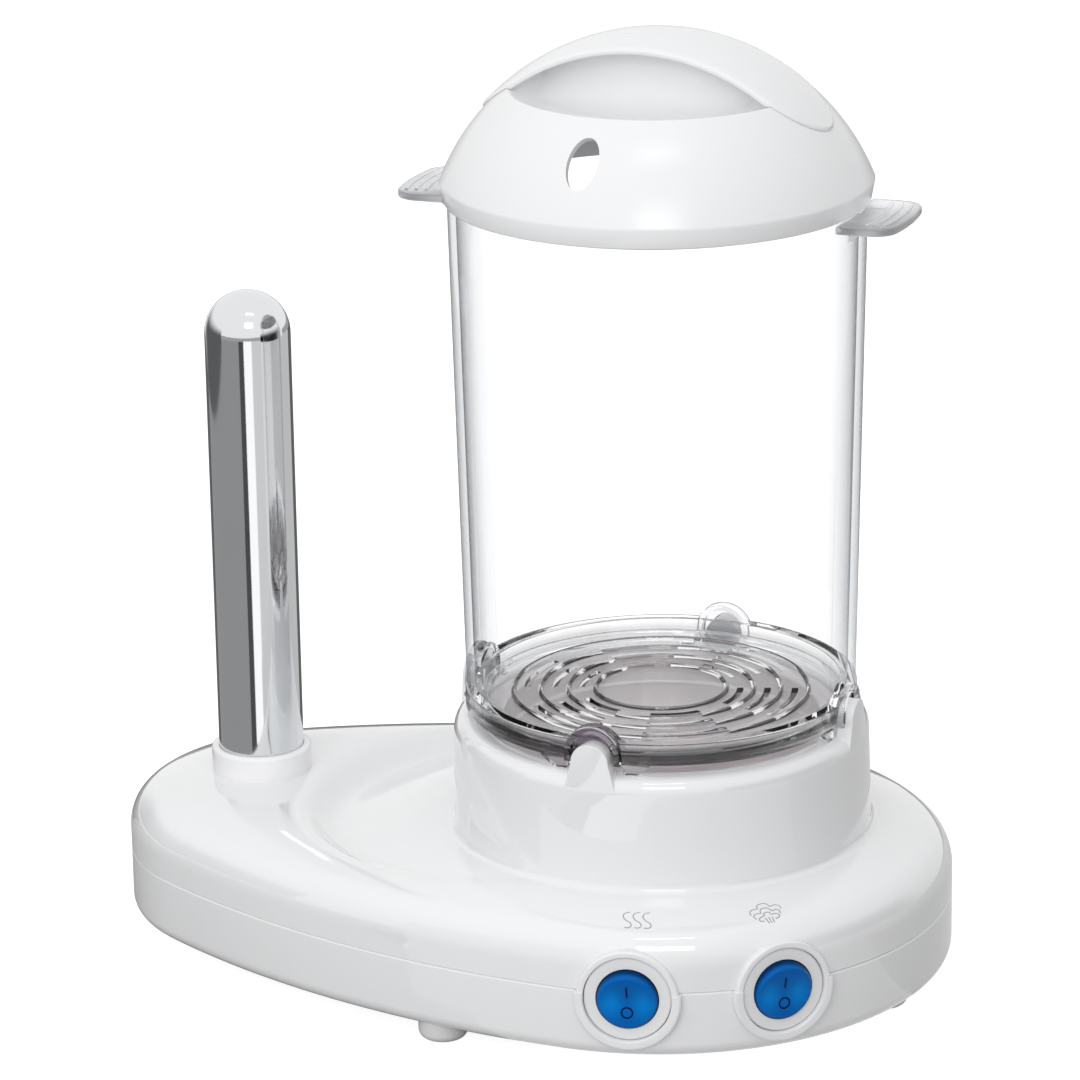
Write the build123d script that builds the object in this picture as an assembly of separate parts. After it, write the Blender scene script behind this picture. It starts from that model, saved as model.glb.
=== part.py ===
from build123d import *
from math import atan2, cos, degrees, radians, sin, sqrt, tan
import os

# Countertop cooker. An oval base carries a heated spike at its small end and, at its big
# end, a heated water dish under a clear container with a domed lid.
# Sizes are in millimetres and angles in degrees. +X runs along the base towards the
# container, +Y to the back and +Z up. The origin is on the table under the base's middle.

# Shared by all cuts and seats
overrun = 2.0
seat_gap = 0.05
blend_lift = 0.1

# Base outline, an oval of four arcs that meet in tangents
big_end_radius = 107.0
small_end_radius = 69.5
side_radius = 360.0
end_spacing = 140.5

# Base housings
housing_wall = 2.6
foot_rise = 7.0
lower_housing_height = 25.0
shoulder_rise = 8.5
edge_radius = 14.0
edge_turn = 70.0
crown_radius = 80.0
bottom_edge_radius = 6.0
seam_bevel = 0.5
vent_slot_length = 34.0
vent_slot_width = 3.0
vent_slot_pitch = 9.0
vent_slot_count = 5

# Collar round the water dish
collar_wall = 10.0
collar_taper = 1.0
collar_rise = 41.5
collar_lip_radius = 6.0
collar_flare_radius = 3.0
collar_step_depth = 4.0

# Locating tabs on the collar
tab_count = 4
tab_height = 12.0
tab_top_radius = 7.0
tab_foot_half_width = 9.0
tab_root_depth = 6.0
tab_set_in = 4.0
tab_thickness = 4.4
tab_edge_radius = 1.2

# Crescent hollow between the spike and the collar
hollow_depth = 12.5
hollow_radius = 91.0
hollow_offset = 53.0
hollow_slope = 40.0
hollow_bend_radius = 16.0
mound_radius = 81.0
mound_slope = 15.0
mound_bend_radius = 60.0

# Feet and the screws over them
foot_radius = 9.0
foot_edge_radius = 2.5
foot_recess_depth = 1.2
foot_fit = 0.3
front_foot_offset = 91.0
end_foot_x = 140.5
end_foot_y = 11.0
post_radius = 5.0
screw_shank_radius = 1.6
screw_head_radius = 3.4
screw_head_height = 2.2
screw_length = 24.0
screw_pilot_gap = 0.05
screw_pocket_radius = 3.7

# Spike, its ring, nut and heater
spike_from_end = 48.5
spike_radius = 16.0
spike_wall = 1.0
spike_height = 186.5
spike_fit = 0.05
ring_radius = 18.9
ring_height = 9.0
ring_bevel = 1.2
ring_seat_depth = 0.8
ring_seat_fit = 0.15
neck_wall = 1.6
neck_depth = 12.5
neck_fit = 0.3
spike_flange_thickness = 1.2
nut_radius = 21.5
nut_height = 6.0
nut_fit = 0.05
heater_core_radius = 12.0
heater_length = 150.0
heater_cap_height = 5.0
heater_fit = 0.1
heater_cap_count = 3
heater_pin_radius = 1.0
heater_pin_length = 8.0
heater_pin_spacing = 10.0

# Round switches in the base's front
switch_angles = {"spike_switch": 13.0, "dish_switch": 43.0}
switch_drop = 2.0
rim_radius = 18.2
rim_reach = 1.0
rim_step = 0.6
rim_depth = 9.0
rim_edge_radius = 0.8
bezel_radius = 15.6
bezel_fit = 0.3
bezel_thickness = 3.6
bezel_sink = 0.8
barrel_radius = 14.0
barrel_fit = 0.3
barrel_depth = 19.0
barrel_back_wall = 2.0
rocker_radius = 12.1
rocker_fit = 0.3
rocker_slope = 7.0
rocker_pivot_depth = 4.0
rocker_back_depth = 9.0
rocker_proud = 0.5
pivot_pin_radius = 1.5
pivot_pin_reach = 0.8
pivot_fit = 0.05
pivot_end_gap = 0.15
blade_width = 6.3
blade_thickness = 0.8
blade_length = 12.0
blade_pitch = 7.5
blade_count = 3

# Water dish and what is fixed under it
dish_plate = 1.2
dish_bowl_radius = 58.6
dish_flange_width = 6.4
dish_flange_fit = 1.0
dish_bowl_clearance = 2.4
dish_depth = 12.0
dish_bend_radius = 3.0
seal_thickness = 1.4
retainer_thickness = 1.6
retainer_overlap = 8.0
ring_heater_inset = 18.6
heater_tube_radius = 3.2
ring_heater_gap = 40.0
heater_leg_length = 14.0
thermostat_radius = 9.0
thermostat_height = 9.0
thermostat_cap_radius = 6.0
thermostat_cap_height = 2.5
strap_width = 12.0
strap_thickness = 1.2
strap_reach = 26.0
strap_foot = 8.0
fuse_radius = 3.5
fuse_length = 24.0
fuse_offset = 22.0

# Inlet bush and terminal block
bush_x = -62.0
bush_z = 19.5
bush_radius = 5.5
bush_flange_radius = 7.5
bush_flange_thickness = 2.5
bush_nose_length = 5.0
bush_nose_tip_radius = 5.8
bush_bore_radius = 3.5
bush_fit = 0.2
block_length = 30.0
block_width = 16.0
block_height = 13.0
block_inset = 22.0
block_pole_count = 3
block_pole_pitch = 9.0
block_wire_radius = 2.2
block_screw_radius = 2.4
block_screw_depth = 4.0

# Clear container
pot_wall = 3.0
pot_flare = 3.8
pot_top_rise = 196.0
pot_foot_height = 4.0
pot_ring_proud = 0.6
pot_ring_step = 2.0
pot_ring_height = 8.0
pot_ledge_width = 2.5
pot_ledge_height = 2.0
pot_foot_width = 5.0
pot_foot_depth = 3.6
arch_half_width = 8.3
arch_rise = 7.0
arch_pocket_fit = 0.5
arch_rim_width = 2.3
arch_rim_proud = 1.8
pot_handle_length = 19.7
pot_handle_half_width = 22.0
pot_handle_corner = 9.0
pot_handle_thickness = 2.7
pot_handle_drop = 3.2
pot_handle_ribs = 3
handle_rib_width = 1.2
handle_rib_height = 0.6
handle_rib_pitch = 3.6
handle_rib_half_angle = 11.0
gusset_height = 6.0
gusset_reach = 8.0
gusset_thickness = 1.6
gusset_offset = 10.0

# Slotted floor of the container
floor_thickness = 2.0
floor_fit = 0.1
floor_rib_inset = 11.9
floor_rib_pitch = 10.0
floor_rib_count = 4
floor_rib_width = 1.6
floor_rib_height = 1.2
slot_width = 2.4
slot_arc = 36.0
slot_count = 6

# Lid dome and handle
lid_overhang = 2.4
lid_rise = 52.0
lid_band_height = 6.7
lid_band_draw = 1.2
lid_wall = 2.4
lid_lip_gap = 0.4
lid_spigot_fit = 0.4
lid_spigot_wall = 2.0
lid_spigot_depth = 8.0
lid_lip_gap_z = 0.5
grip_hollow_inset = 24.4
grip_hollow_sag = 8.0
vent_width = 12.6
vent_height = 20.0
vent_tilt = 36.0
vent_turn = 3.0
grip_half_width = 20.5
grip_end_inset = 12.7
grip_proud = 1.0
grip_thickness = 3.4
grip_web_half_width = 7.0
grip_end_gap = 0.3

# Places that follow from the sizes
base_length = big_end_radius + end_spacing + small_end_radius
base_tip_x = base_length / 2
pot_x = base_tip_x - big_end_radius
small_x = small_end_radius - base_tip_x
spike_x = spike_from_end - base_tip_x
spike_neck_radius = spike_radius + spike_fit + neck_wall
underside_z = foot_rise
floor_top_z = underside_z + housing_wall
seam_z = underside_z + lower_housing_height
shoulder_z = seam_z + shoulder_rise
crown_z = shoulder_z + crown_radius - (crown_radius - edge_radius) * sin(radians(edge_turn))
crown_inset = edge_radius + (crown_radius - edge_radius) * cos(radians(edge_turn))
collar_z = crown_z + collar_rise
dish_flange_radius = dish_bowl_radius + dish_flange_width
collar_ledge_radius = dish_bowl_radius + dish_bowl_clearance
collar_mouth_radius = dish_flange_radius + dish_flange_fit
collar_top_radius = collar_mouth_radius + collar_wall
collar_foot_radius = collar_top_radius + collar_taper
tab_inner_radius = collar_mouth_radius + tab_set_in
retainer_radius = collar_ledge_radius + retainer_overlap
ring_heater_radius = dish_bowl_radius - ring_heater_inset
pot_ring_inner_radius = collar_mouth_radius
pot_ledge_radius = pot_ring_inner_radius - pot_ledge_width
pot_base_radius = pot_ring_inner_radius + pot_ring_step + pot_wall
pot_ring_radius = pot_base_radius + pot_ring_proud
pot_top_radius = pot_base_radius + pot_flare
pot_handle_reach = pot_top_radius + pot_handle_length
arch_pocket_radius = tab_inner_radius - arch_pocket_fit
pot_floor_radius = pot_ring_inner_radius - floor_fit
floor_rib_radii = [pot_floor_radius - floor_rib_inset - i * floor_rib_pitch for i in range(floor_rib_count)]
slot_radii = [radius - floor_rib_pitch / 2 for radius in floor_rib_radii[:-1]]
lid_radius = pot_top_radius + lid_overhang
grip_hollow_radius = lid_radius - grip_hollow_inset
grip_half_length = lid_radius - grip_end_inset
ledge_z = collar_z - collar_step_depth
ledge_under_z = ledge_z - housing_wall
ring_seat_z = crown_z - ring_seat_depth
nut_top_z = ring_seat_z - housing_wall
screw_seat_z = underside_z + foot_recess_depth + screw_head_height + foot_fit
screw_top_z = screw_seat_z + screw_length
switch_z = seam_z - switch_drop
rim_face_radius = big_end_radius + rim_reach
bezel_face_radius = rim_face_radius - bezel_sink
foot_places = (
    (0, -front_foot_offset),
    (end_foot_x, -end_foot_y),
    (0, front_foot_offset),
    (-end_foot_x, end_foot_y),
)

on_base = (Align.CENTER, Align.CENTER, Align.MIN)


def rounded_edges(corners):
    """Lines and arcs through corners (x, z, radius) in the XZ plane, closed."""
    edges = []
    starts = []
    ends = []
    count = len(corners)
    for i, (x, z, radius) in enumerate(corners):
        here = Vector(x, 0, z)
        if not radius:
            starts.append(here)
            ends.append(here)
            continue
        before = Vector(corners[i - 1][0], 0, corners[i - 1][1])
        after = Vector(corners[(i + 1) % count][0], 0, corners[(i + 1) % count][1])
        back = (before - here).normalized()
        ahead = (after - here).normalized()
        half = radians(back.get_angle(ahead)) / 2
        step = radius / tan(half)
        inward = (back + ahead).normalized() * (radius / sin(half) - radius)
        starts.append(here + back * step)
        ends.append(here + ahead * step)
        edges.append(ThreePointArc(starts[-1], here + inward, ends[-1]))
    for i in range(count):
        following = (i + 1) % count
        if (starts[following] - ends[i]).length > 0:
            edges.append(Line(ends[i], starts[following]))
    return Wire.combine(edges)[0]


def turned(corners, axis_x, arc=360.0):
    """A solid turned about the upright axis at axis_x from corners (radius, z, rounding)."""
    face = Face(rounded_edges([(axis_x + r, z, rounding) for r, z, rounding in corners]))
    return revolve(face, Axis((axis_x, 0, 0), (0, 0, 1)), arc)


def upright(radius, low_z, high_z, x=0.0, y=0.0):
    """An upright cylinder between two heights."""
    return Pos(x, y, low_z) * Cylinder(radius, high_z - low_z, align=on_base)


def ball(radius, x, z):
    """A sphere on the plane y = 0."""
    return Pos(x, 0, z) * Sphere(radius)


def side_centre():
    """Centre of the back side's arc. The front side's is its mirror image."""
    big_reach = side_radius - big_end_radius
    small_reach = side_radius - small_end_radius
    ahead = (small_reach**2 - big_reach**2 - end_spacing**2) / (2 * end_spacing)
    return Vector(pot_x + ahead, -sqrt(big_reach**2 - ahead**2))


def oval_arcs():
    """Centre, radius, start angle and turn of each of the oval's four arcs."""
    side = side_centre()
    big_turn = degrees(atan2(-side.Y, pot_x - side.X))
    small_turn = degrees(atan2(-side.Y, small_x - side.X))
    side_turn = small_turn - big_turn
    return [
        (Vector(pot_x, 0), big_end_radius, -big_turn, 2 * big_turn),
        (side, side_radius, big_turn, side_turn),
        (Vector(small_x, 0), small_end_radius, small_turn, 360 - 2 * small_turn),
        (Vector(side.X, -side.Y), side_radius, 360 - small_turn, side_turn),
    ]


def oval_wire(inset, z):
    """The base outline at height z, drawn in by inset."""
    arcs = []
    for centre, radius, start, turn in oval_arcs():
        arcs.append(CenterArc((centre.X, centre.Y, z), radius - inset, start, turn))
    return Wire(arcs)


def oval_block(inset, low_z, high_z):
    """An upright block with the base outline drawn in by inset."""
    return extrude(Face(oval_wire(inset, low_z)), high_z - low_z, dir=(0, 0, 1))


def crown_section(radius, skin, low_z, bevel):
    """The housing's border in section, radius from its arc's axis to the outline."""
    turn = radians(edge_turn)
    middle = (radians(90) + turn) / 2
    lean = crown_radius - edge_radius

    def spot(inset, z):
        return Vector(radius - inset, 0, z)

    def on_edge(angle):
        reach = edge_radius - skin
        return spot(edge_radius - reach * cos(angle), shoulder_z + reach * sin(angle))

    def on_crown(angle):
        reach = crown_radius - skin
        return spot(crown_inset - reach * cos(angle), shoulder_z - lean * sin(turn) + reach * sin(angle))

    edges = [
        ThreePointArc(on_edge(0), on_edge(turn / 2), on_edge(turn)),
        ThreePointArc(on_crown(turn), on_crown(middle), on_crown(radians(90))),
    ]
    points = [on_crown(radians(90)), spot(crown_inset, low_z), spot(skin + bevel, low_z)]
    if bevel:
        points.append(spot(skin, low_z + bevel))
    points.append(on_edge(0))
    for before, after in zip(points, points[1:]):
        edges.append(Line(before, after))
    return Face(Wire.combine(edges)[0])


def crown_body(skin, low_z, bevel):
    """The upper housing's full body, drawn in by skin: upright side, round edge, soft crown."""
    body = oval_block(crown_inset, low_z, crown_z - skin)
    for centre, radius, start, turn in oval_arcs():
        place = Pos(centre.X, centre.Y, 0) * Rot(0, 0, start)
        axis = Axis((centre.X, centre.Y, 0), (0, 0, 1))
        body += revolve(place * crown_section(radius, skin, low_z, bevel), axis, turn)
    return body


def hollow_tool(skin):
    """A wide round hollow, its soft rim just over the crown so that it cuts cleanly."""
    turn = radians(hollow_slope)
    bend = hollow_bend_radius
    high = crown_z + blend_lift
    low = crown_z - hollow_depth - skin
    reach = hollow_radius + skin
    rim = reach - bend * tan(turn / 2)
    corners = [
        (0, high + overrun, 0),
        (reach + overrun, high + overrun, 0),
        (reach + overrun, high, 0),
        (rim, high, bend),
        (rim - (high - low) / tan(turn), low, bend),
        (0, low, 0),
    ]
    axis = Axis((pot_x - hollow_offset, 0, 0), (0, 0, 1))
    return turned(corners, pot_x - hollow_offset).rotate(axis, 90)


def mound_body(skin):
    """The gentle mound that rises through the hollow to the collar's foot."""
    slope = tan(radians(mound_slope))
    high = crown_z + blend_lift
    drop = hollow_depth + skin + overrun
    corner = mound_radius - skin + mound_bend_radius * tan(radians(mound_slope) / 2)
    corners = [
        (0, high + 2 * overrun, 0),
        (mound_radius - skin, high + 2 * overrun, 0),
        (mound_radius - skin, high, 0),
        (corner, high, mound_bend_radius),
        (corner + drop / slope, high - drop, 0),
        (0, high - drop, 0),
    ]
    return turned(corners, pot_x)


def collar_body():
    """The collar's shell with the mouth and the ledge that carries the dish."""
    wide = collar_foot_radius + collar_flare_radius
    sag = crown_inset - big_end_radius + wide
    foot_z = crown_z - blend_lift - crown_radius + sqrt(crown_radius**2 - sag**2)
    skirt_z = crown_z - 2 * housing_wall
    corners = [
        (wide, foot_z, 0),
        (collar_foot_radius, foot_z, collar_flare_radius),
        (collar_top_radius, collar_z, collar_lip_radius),
        (collar_mouth_radius, collar_z, 0),
        (collar_mouth_radius, ledge_z, 0),
        (collar_ledge_radius, ledge_z, 0),
        (collar_ledge_radius, ledge_under_z, 0),
        (collar_top_radius - housing_wall, ledge_under_z, 0),
        (collar_foot_radius - housing_wall, skirt_z, 0),
        (collar_foot_radius, skirt_z, 0),
        (collar_foot_radius, foot_z - housing_wall / 2, 0),
        (wide, foot_z - housing_wall / 2, 0),
    ]
    return turned(corners, pot_x)


def around(piece, count, start=0.0):
    """Copies of piece spaced evenly about the container's axis."""
    axis = Axis((pot_x, 0, 0), (0, 0, 1))
    return [piece.rotate(axis, start + i * 360 / count) for i in range(count)]


def tab_body():
    """One locating tab: a round-topped tongue that stands up from the collar's front."""
    shoulder = collar_z + tab_height - tab_top_radius
    foot = collar_z - tab_root_depth
    edges = [
        Line((-tab_foot_half_width, foot), (-tab_top_radius, shoulder)),
        ThreePointArc((-tab_top_radius, shoulder), (0, collar_z + tab_height), (tab_top_radius, shoulder)),
        Line((tab_top_radius, shoulder), (tab_foot_half_width, foot)),
        Line((tab_foot_half_width, foot), (-tab_foot_half_width, foot)),
    ]
    outer = tab_inner_radius + tab_thickness
    front = Plane(origin=(pot_x, -outer, 0), x_dir=(1, 0, 0), z_dir=(0, -1, 0))
    tongue = extrude(front * Face(Wire(edges)), tab_thickness, dir=(0, 1, 0))
    front_edges = tongue.faces().sort_by(Axis.Y)[0].edges()
    upper_edges = front_edges.filter_by(lambda e: e.center().Z > foot + tab_edge_radius)
    return fillet(upper_edges, tab_edge_radius)


def switch_place(angle, radius=bezel_face_radius):
    """The frame of a switch: z points outwards, y up and x along the base's front."""
    turn = radians(angle)
    out = (sin(turn), -cos(turn), 0)
    origin = (pot_x + radius * out[0], radius * out[1], switch_z)
    return Plane(origin=origin, x_dir=(cos(turn), sin(turn), 0), z_dir=out)


def outward(radius, low, high):
    """A cylinder along a switch's own axis between two depths."""
    return Pos(0, 0, low) * Cylinder(radius, high - low, align=on_base)


def rim_body(angle, reach):
    """The round rim that stands out of the housing about a switch."""
    face = bezel_sink + reach
    rim = outward(rim_radius, -rim_depth, face)
    rim = fillet(rim.edges().group_by(Axis.Z)[-1], rim_edge_radius)
    return switch_place(angle).location * rim


def rim_bore(angle):
    """The stepped bore for a switch's bezel and barrel."""
    bezel = outward(bezel_radius + bezel_fit, -bezel_thickness, rim_radius)
    barrel = outward(barrel_radius + barrel_fit, -rim_radius, rim_radius)
    return switch_place(angle).location * (bezel + barrel)


def half_space(above):
    """A block that holds all of the base above or below the seam."""
    side = 2 * base_length
    middle_z = seam_z + side / 2 if above else seam_z - side / 2
    return Pos(0, 0, middle_z) * Box(side, side, side)


def upper_housing():
    """The base's upper shell with collar, tabs, hollow, screw posts and switch rims."""
    room = crown_body(housing_wall, seam_z - overrun, 0)
    room -= hollow_tool(housing_wall) - mound_body(housing_wall)
    room -= upright(nut_radius + housing_wall / 2, nut_top_z, crown_z, spike_x)
    for x, y in foot_places:
        room -= upright(post_radius, seam_z - 2 * overrun, crown_z, x, y)
    shell = crown_body(0, seam_z, seam_bevel) - room
    for x, y in foot_places:
        shell -= upright(screw_shank_radius + screw_pilot_gap, seam_z - overrun, screw_top_z + overrun, x, y)
    shell -= hollow_tool(0) - mound_body(0)
    shell -= upright(collar_foot_radius - housing_wall / 2, seam_z, collar_z, pot_x)
    shell += collar_body()
    for tab in around(tab_body(), tab_count):
        shell += tab
    shell -= upright(spike_neck_radius + neck_fit, seam_z, crown_z, spike_x)
    shell -= upright(ring_radius + ring_seat_fit, ring_seat_z, crown_z + overrun, spike_x)
    for angle in switch_angles.values():
        shell += rim_body(angle, 0) & half_space(True)
    for angle in switch_angles.values():
        shell -= rim_bore(angle)
    return shell


def lower_housing():
    """The base's tray with screw posts, foot seats, air slots and switch rims."""
    outer = oval_block(0, underside_z, seam_z)
    outer = fillet(outer.edges().group_by(Axis.Z)[0], bottom_edge_radius)
    outer = chamfer(outer.edges().group_by(Axis.Z)[-1], seam_bevel)
    inner = oval_block(housing_wall, floor_top_z, seam_z + overrun)
    inner = fillet(inner.edges().group_by(Axis.Z)[0], bottom_edge_radius - housing_wall)
    tray = outer - inner
    for x, y in foot_places:
        tray += upright(post_radius, underside_z, seam_z, x, y)
        tray -= upright(screw_shank_radius + screw_pilot_gap, underside_z - overrun, seam_z + overrun, x, y)
        tray -= upright(screw_pocket_radius, underside_z - overrun, screw_seat_z, x, y)
        tray -= upright(foot_radius + foot_fit, underside_z - overrun, underside_z + foot_recess_depth, x, y)
    for i in range(vent_slot_count):
        x = pot_x + (i - (vent_slot_count - 1) / 2) * vent_slot_pitch
        slot = SlotOverall(vent_slot_length, vent_slot_width, rotation=90)
        tray -= Pos(x, 0, underside_z - overrun) * extrude(slot, housing_wall + 2 * overrun)
    for angle in switch_angles.values():
        tray += rim_body(angle, rim_step) & half_space(False)
    for angle in switch_angles.values():
        tray -= rim_bore(angle)
    place = bush_place()
    hole = outward(bush_radius + bush_fit, -side_radius / 2, side_radius / 2)
    tray -= place.location * (hole & outward(bush_radius * 2, -bush_flange_radius, bush_flange_radius))
    return tray


def feet():
    """Four round rubber feet, let into the tray over its screws."""
    group = []
    for x, y in foot_places:
        foot = upright(foot_radius, 0, underside_z + foot_recess_depth, x, y)
        foot = fillet(foot.edges().group_by(Axis.Z)[0], foot_edge_radius)
        group.append(foot)
    return group


def screws():
    """Pan-head screws that hold the two housings together."""
    group = []
    for x, y in foot_places:
        seat = screw_seat_z
        head = upright(screw_head_radius, seat - screw_head_height, seat, x, y)
        shank = upright(screw_shank_radius, seat - screw_head_height, screw_top_z, x, y)
        group.append(head + shank)
    return group


def spike_tube():
    """Chromed tube with a round closed tip and a flange under the ring's neck."""
    flange_top = crown_z - neck_depth
    flange_low = flange_top - spike_flange_thickness
    top = crown_z + spike_height
    inner = spike_radius - spike_wall
    edges = [
        Line((inner, 0, flange_low), (inner, 0, top - spike_radius)),
        ThreePointArc(
            (inner, 0, top - spike_radius),
            (inner * cos(radians(45)), 0, top - spike_radius + inner * sin(radians(45))),
            (0, 0, top - spike_wall),
        ),
        Line((0, 0, top - spike_wall), (0, 0, top)),
        ThreePointArc(
            (0, 0, top),
            (spike_radius * cos(radians(45)), 0, top - spike_radius + spike_radius * sin(radians(45))),
            (spike_radius, 0, top - spike_radius),
        ),
        Line((spike_radius, 0, top - spike_radius), (spike_radius, 0, flange_top)),
        Line((spike_radius, 0, flange_top), (spike_neck_radius, 0, flange_top)),
        Line((spike_neck_radius, 0, flange_top), (spike_neck_radius, 0, flange_low)),
        Line((spike_neck_radius, 0, flange_low), (inner, 0, flange_low)),
    ]
    return Pos(spike_x, 0, 0) * revolve(Face(Wire(edges)), Axis.Z)


def spike_ring():
    """White ring that stands on the base about the spike, with its neck through the housing."""
    bore = spike_radius + spike_fit
    corners = [
        (bore, crown_z - neck_depth, 0),
        (bore, crown_z + ring_height, 0),
        (ring_radius, crown_z + ring_height, ring_bevel),
        (ring_radius, ring_seat_z, 0),
        (spike_neck_radius, ring_seat_z, 0),
        (spike_neck_radius, crown_z - neck_depth, 0),
    ]
    return turned(corners, spike_x)


def spike_nut():
    """Six-sided nut that pulls the ring down from inside the housing."""
    blank = RegularPolygon(nut_radius, 6) - Circle(spike_neck_radius + nut_fit)
    return Pos(spike_x, 0, nut_top_z - nut_height) * extrude(blank, nut_height)


def spike_heater():
    """Cartridge heater in the tube: a core with round spacers and two pins below."""
    low = crown_z - neck_depth - spike_flange_thickness
    cap_radius = spike_radius - spike_wall - heater_fit
    rod = upright(heater_core_radius, low, low + heater_length, spike_x)
    for i in range(heater_cap_count):
        start = low + i * (heater_length - heater_cap_height) / (heater_cap_count - 1)
        rod += upright(cap_radius, start, start + heater_cap_height, spike_x)
    for side in (-1, 1):
        y = side * heater_pin_spacing / 2
        rod += upright(heater_pin_radius, low - heater_pin_length, low, spike_x, y)
    return rod


def switch_body():
    """Bezel and barrel of a switch, in its own frame, with holes for the rocker's pins."""
    cavity = rocker_radius + rocker_fit
    body = outward(bezel_radius, -bezel_thickness, 0)
    body = fillet(body.edges().group_by(Axis.Z)[-1], rim_edge_radius)
    body += outward(barrel_radius, -barrel_depth, -bezel_thickness)
    body -= outward(cavity, barrel_back_wall - barrel_depth, -rocker_pivot_depth)
    body -= Pos(0, 0, -rocker_pivot_depth) * Sphere(cavity)
    reach = cavity + pivot_pin_reach + pivot_end_gap
    pin = Rot(0, 90, 0) * Cylinder(pivot_pin_radius + pivot_fit, 2 * reach)
    body -= Pos(0, 0, -rocker_pivot_depth) * pin
    for place in blade_places():
        body -= place * blade(pivot_fit)
    return body


def blade_places():
    """Where the terminals stand in a switch's back wall."""
    places = []
    for i in range(blade_count):
        y = (i - (blade_count - 1) / 2) * blade_pitch
        places.append(Pos(0, y, barrel_back_wall - barrel_depth))
    return places


def blade(fit):
    """One flat blade terminal that points into the base."""
    size = (blade_width + 2 * fit, blade_thickness + 2 * fit, blade_length)
    return Box(*size, align=(Align.CENTER, Align.CENTER, Align.MAX))


def rocker_body():
    """Round rocker with a shallow V front, its pins, and its lower half pressed in."""
    reach = rocker_radius + overrun
    rise = reach * tan(radians(rocker_slope))
    points = [
        (-reach, -rocker_back_depth),
        (reach, -rocker_back_depth),
        (reach, rocker_proud + rise),
        (0, rocker_proud),
        (-reach, rocker_proud + rise),
    ]
    across = Plane(origin=(-reach, 0, 0), x_dir=(0, 1, 0), z_dir=(1, 0, 0))
    block = extrude(across * make_face(Polyline(*points, close=True)), 2 * reach)
    pivot = Pos(0, 0, -rocker_pivot_depth)
    body = block & (pivot * Sphere(rocker_radius))
    pin_reach = rocker_radius + rocker_fit + pivot_pin_reach
    body += pivot * Rot(0, 90, 0) * Cylinder(pivot_pin_radius, 2 * pin_reach)
    return pivot * Rot(rocker_slope, 0, 0) * pivot.inverse() * body


def water_dish():
    """Metal dish with a flat flange on the seal."""
    top = ledge_z + seal_thickness + dish_plate
    low = top - dish_depth
    inner = dish_bowl_radius - dish_plate
    corners = [
        (0, low, 0),
        (dish_bowl_radius, low, dish_bend_radius),
        (dish_bowl_radius, top - dish_plate, 0),
        (dish_flange_radius, top - dish_plate, 0),
        (dish_flange_radius, top, 0),
        (inner, top, 0),
        (inner, low + dish_plate, dish_bend_radius - dish_plate),
        (0, low + dish_plate, 0),
    ]
    return turned(corners, pot_x)


def dish_under_z():
    """Height of the dish's underside."""
    return ledge_z + seal_thickness + dish_plate - dish_depth


def dish_seal():
    """Flat ring between the dish's flange and the collar's ledge."""
    ring = upright(dish_flange_radius, ledge_z, ledge_z + seal_thickness, pot_x)
    return ring - upright(collar_ledge_radius, ledge_z - overrun, collar_z, pot_x)


def dish_retainer():
    """Sheet ring pressed on the dish's wall under the ledge."""
    low = ledge_under_z - retainer_thickness
    ring = upright(retainer_radius, low, ledge_under_z, pot_x)
    return ring - upright(dish_bowl_radius + seat_gap, low - overrun, collar_z, pot_x)


def dish_heater():
    """Sheathed heater bent in a ring under the dish, with two legs down."""
    z = dish_under_z() - seat_gap - heater_tube_radius
    tube = Plane.XZ * Pos(pot_x + ring_heater_radius, z) * Circle(heater_tube_radius)
    axis = Axis((pot_x, 0, 0), (0, 0, 1))
    start = ring_heater_gap / 2
    ring = revolve(tube, axis, 360 - ring_heater_gap).rotate(axis, start)
    for turn in (start, -start):
        x = pot_x + ring_heater_radius * cos(radians(turn))
        y = ring_heater_radius * sin(radians(turn))
        ring += Pos(x, y, z) * Sphere(heater_tube_radius)
        ring += upright(heater_tube_radius, z - heater_leg_length, z, x, y)
    return ring


def thermostat():
    """Round thermostat pressed against the dish's middle."""
    high = dish_under_z()
    can = upright(thermostat_radius, high - thermostat_height, high - thermostat_cap_height, pot_x)
    return can + upright(thermostat_cap_radius, high - thermostat_cap_height, high, pot_x)


def thermostat_bracket():
    """Bent strap that holds the thermostat up against the dish."""
    high = dish_under_z()
    low = high - thermostat_height
    points = [
        (-strap_reach - strap_foot, high),
        (-strap_reach, high),
        (-strap_reach, low),
        (strap_reach, low),
        (strap_reach, high),
        (strap_reach + strap_foot, high),
        (strap_reach + strap_foot, high - strap_thickness),
        (strap_reach + strap_thickness, high - strap_thickness),
        (strap_reach + strap_thickness, low - strap_thickness),
        (-strap_reach - strap_thickness, low - strap_thickness),
        (-strap_reach - strap_thickness, high - strap_thickness),
        (-strap_reach - strap_foot, high - strap_thickness),
    ]
    front = Plane(origin=(pot_x, strap_width / 2, 0), x_dir=(1, 0, 0), z_dir=(0, -1, 0))
    return extrude(front * make_face(Polyline(*points, close=True)), strap_width)


def thermal_fuse():
    """Fuse in its sleeve, clipped along the dish's underside."""
    z = dish_under_z() - seat_gap - fuse_radius
    body = Rot(0, 90, 0) * Cylinder(fuse_radius, fuse_length)
    return Pos(pot_x, fuse_offset, z) * chamfer(body.edges(), fuse_radius / 4)


def bush_place():
    """The frame of the cord inlet: z points out through the back wall."""
    side = side_centre()
    y = side.Y + sqrt(side_radius**2 - (bush_x - side.X) ** 2)
    out = (Vector(bush_x, y) - side).normalized()
    return Plane(origin=(bush_x, y, bush_z), x_dir=(0, 0, 1), z_dir=out)


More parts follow.
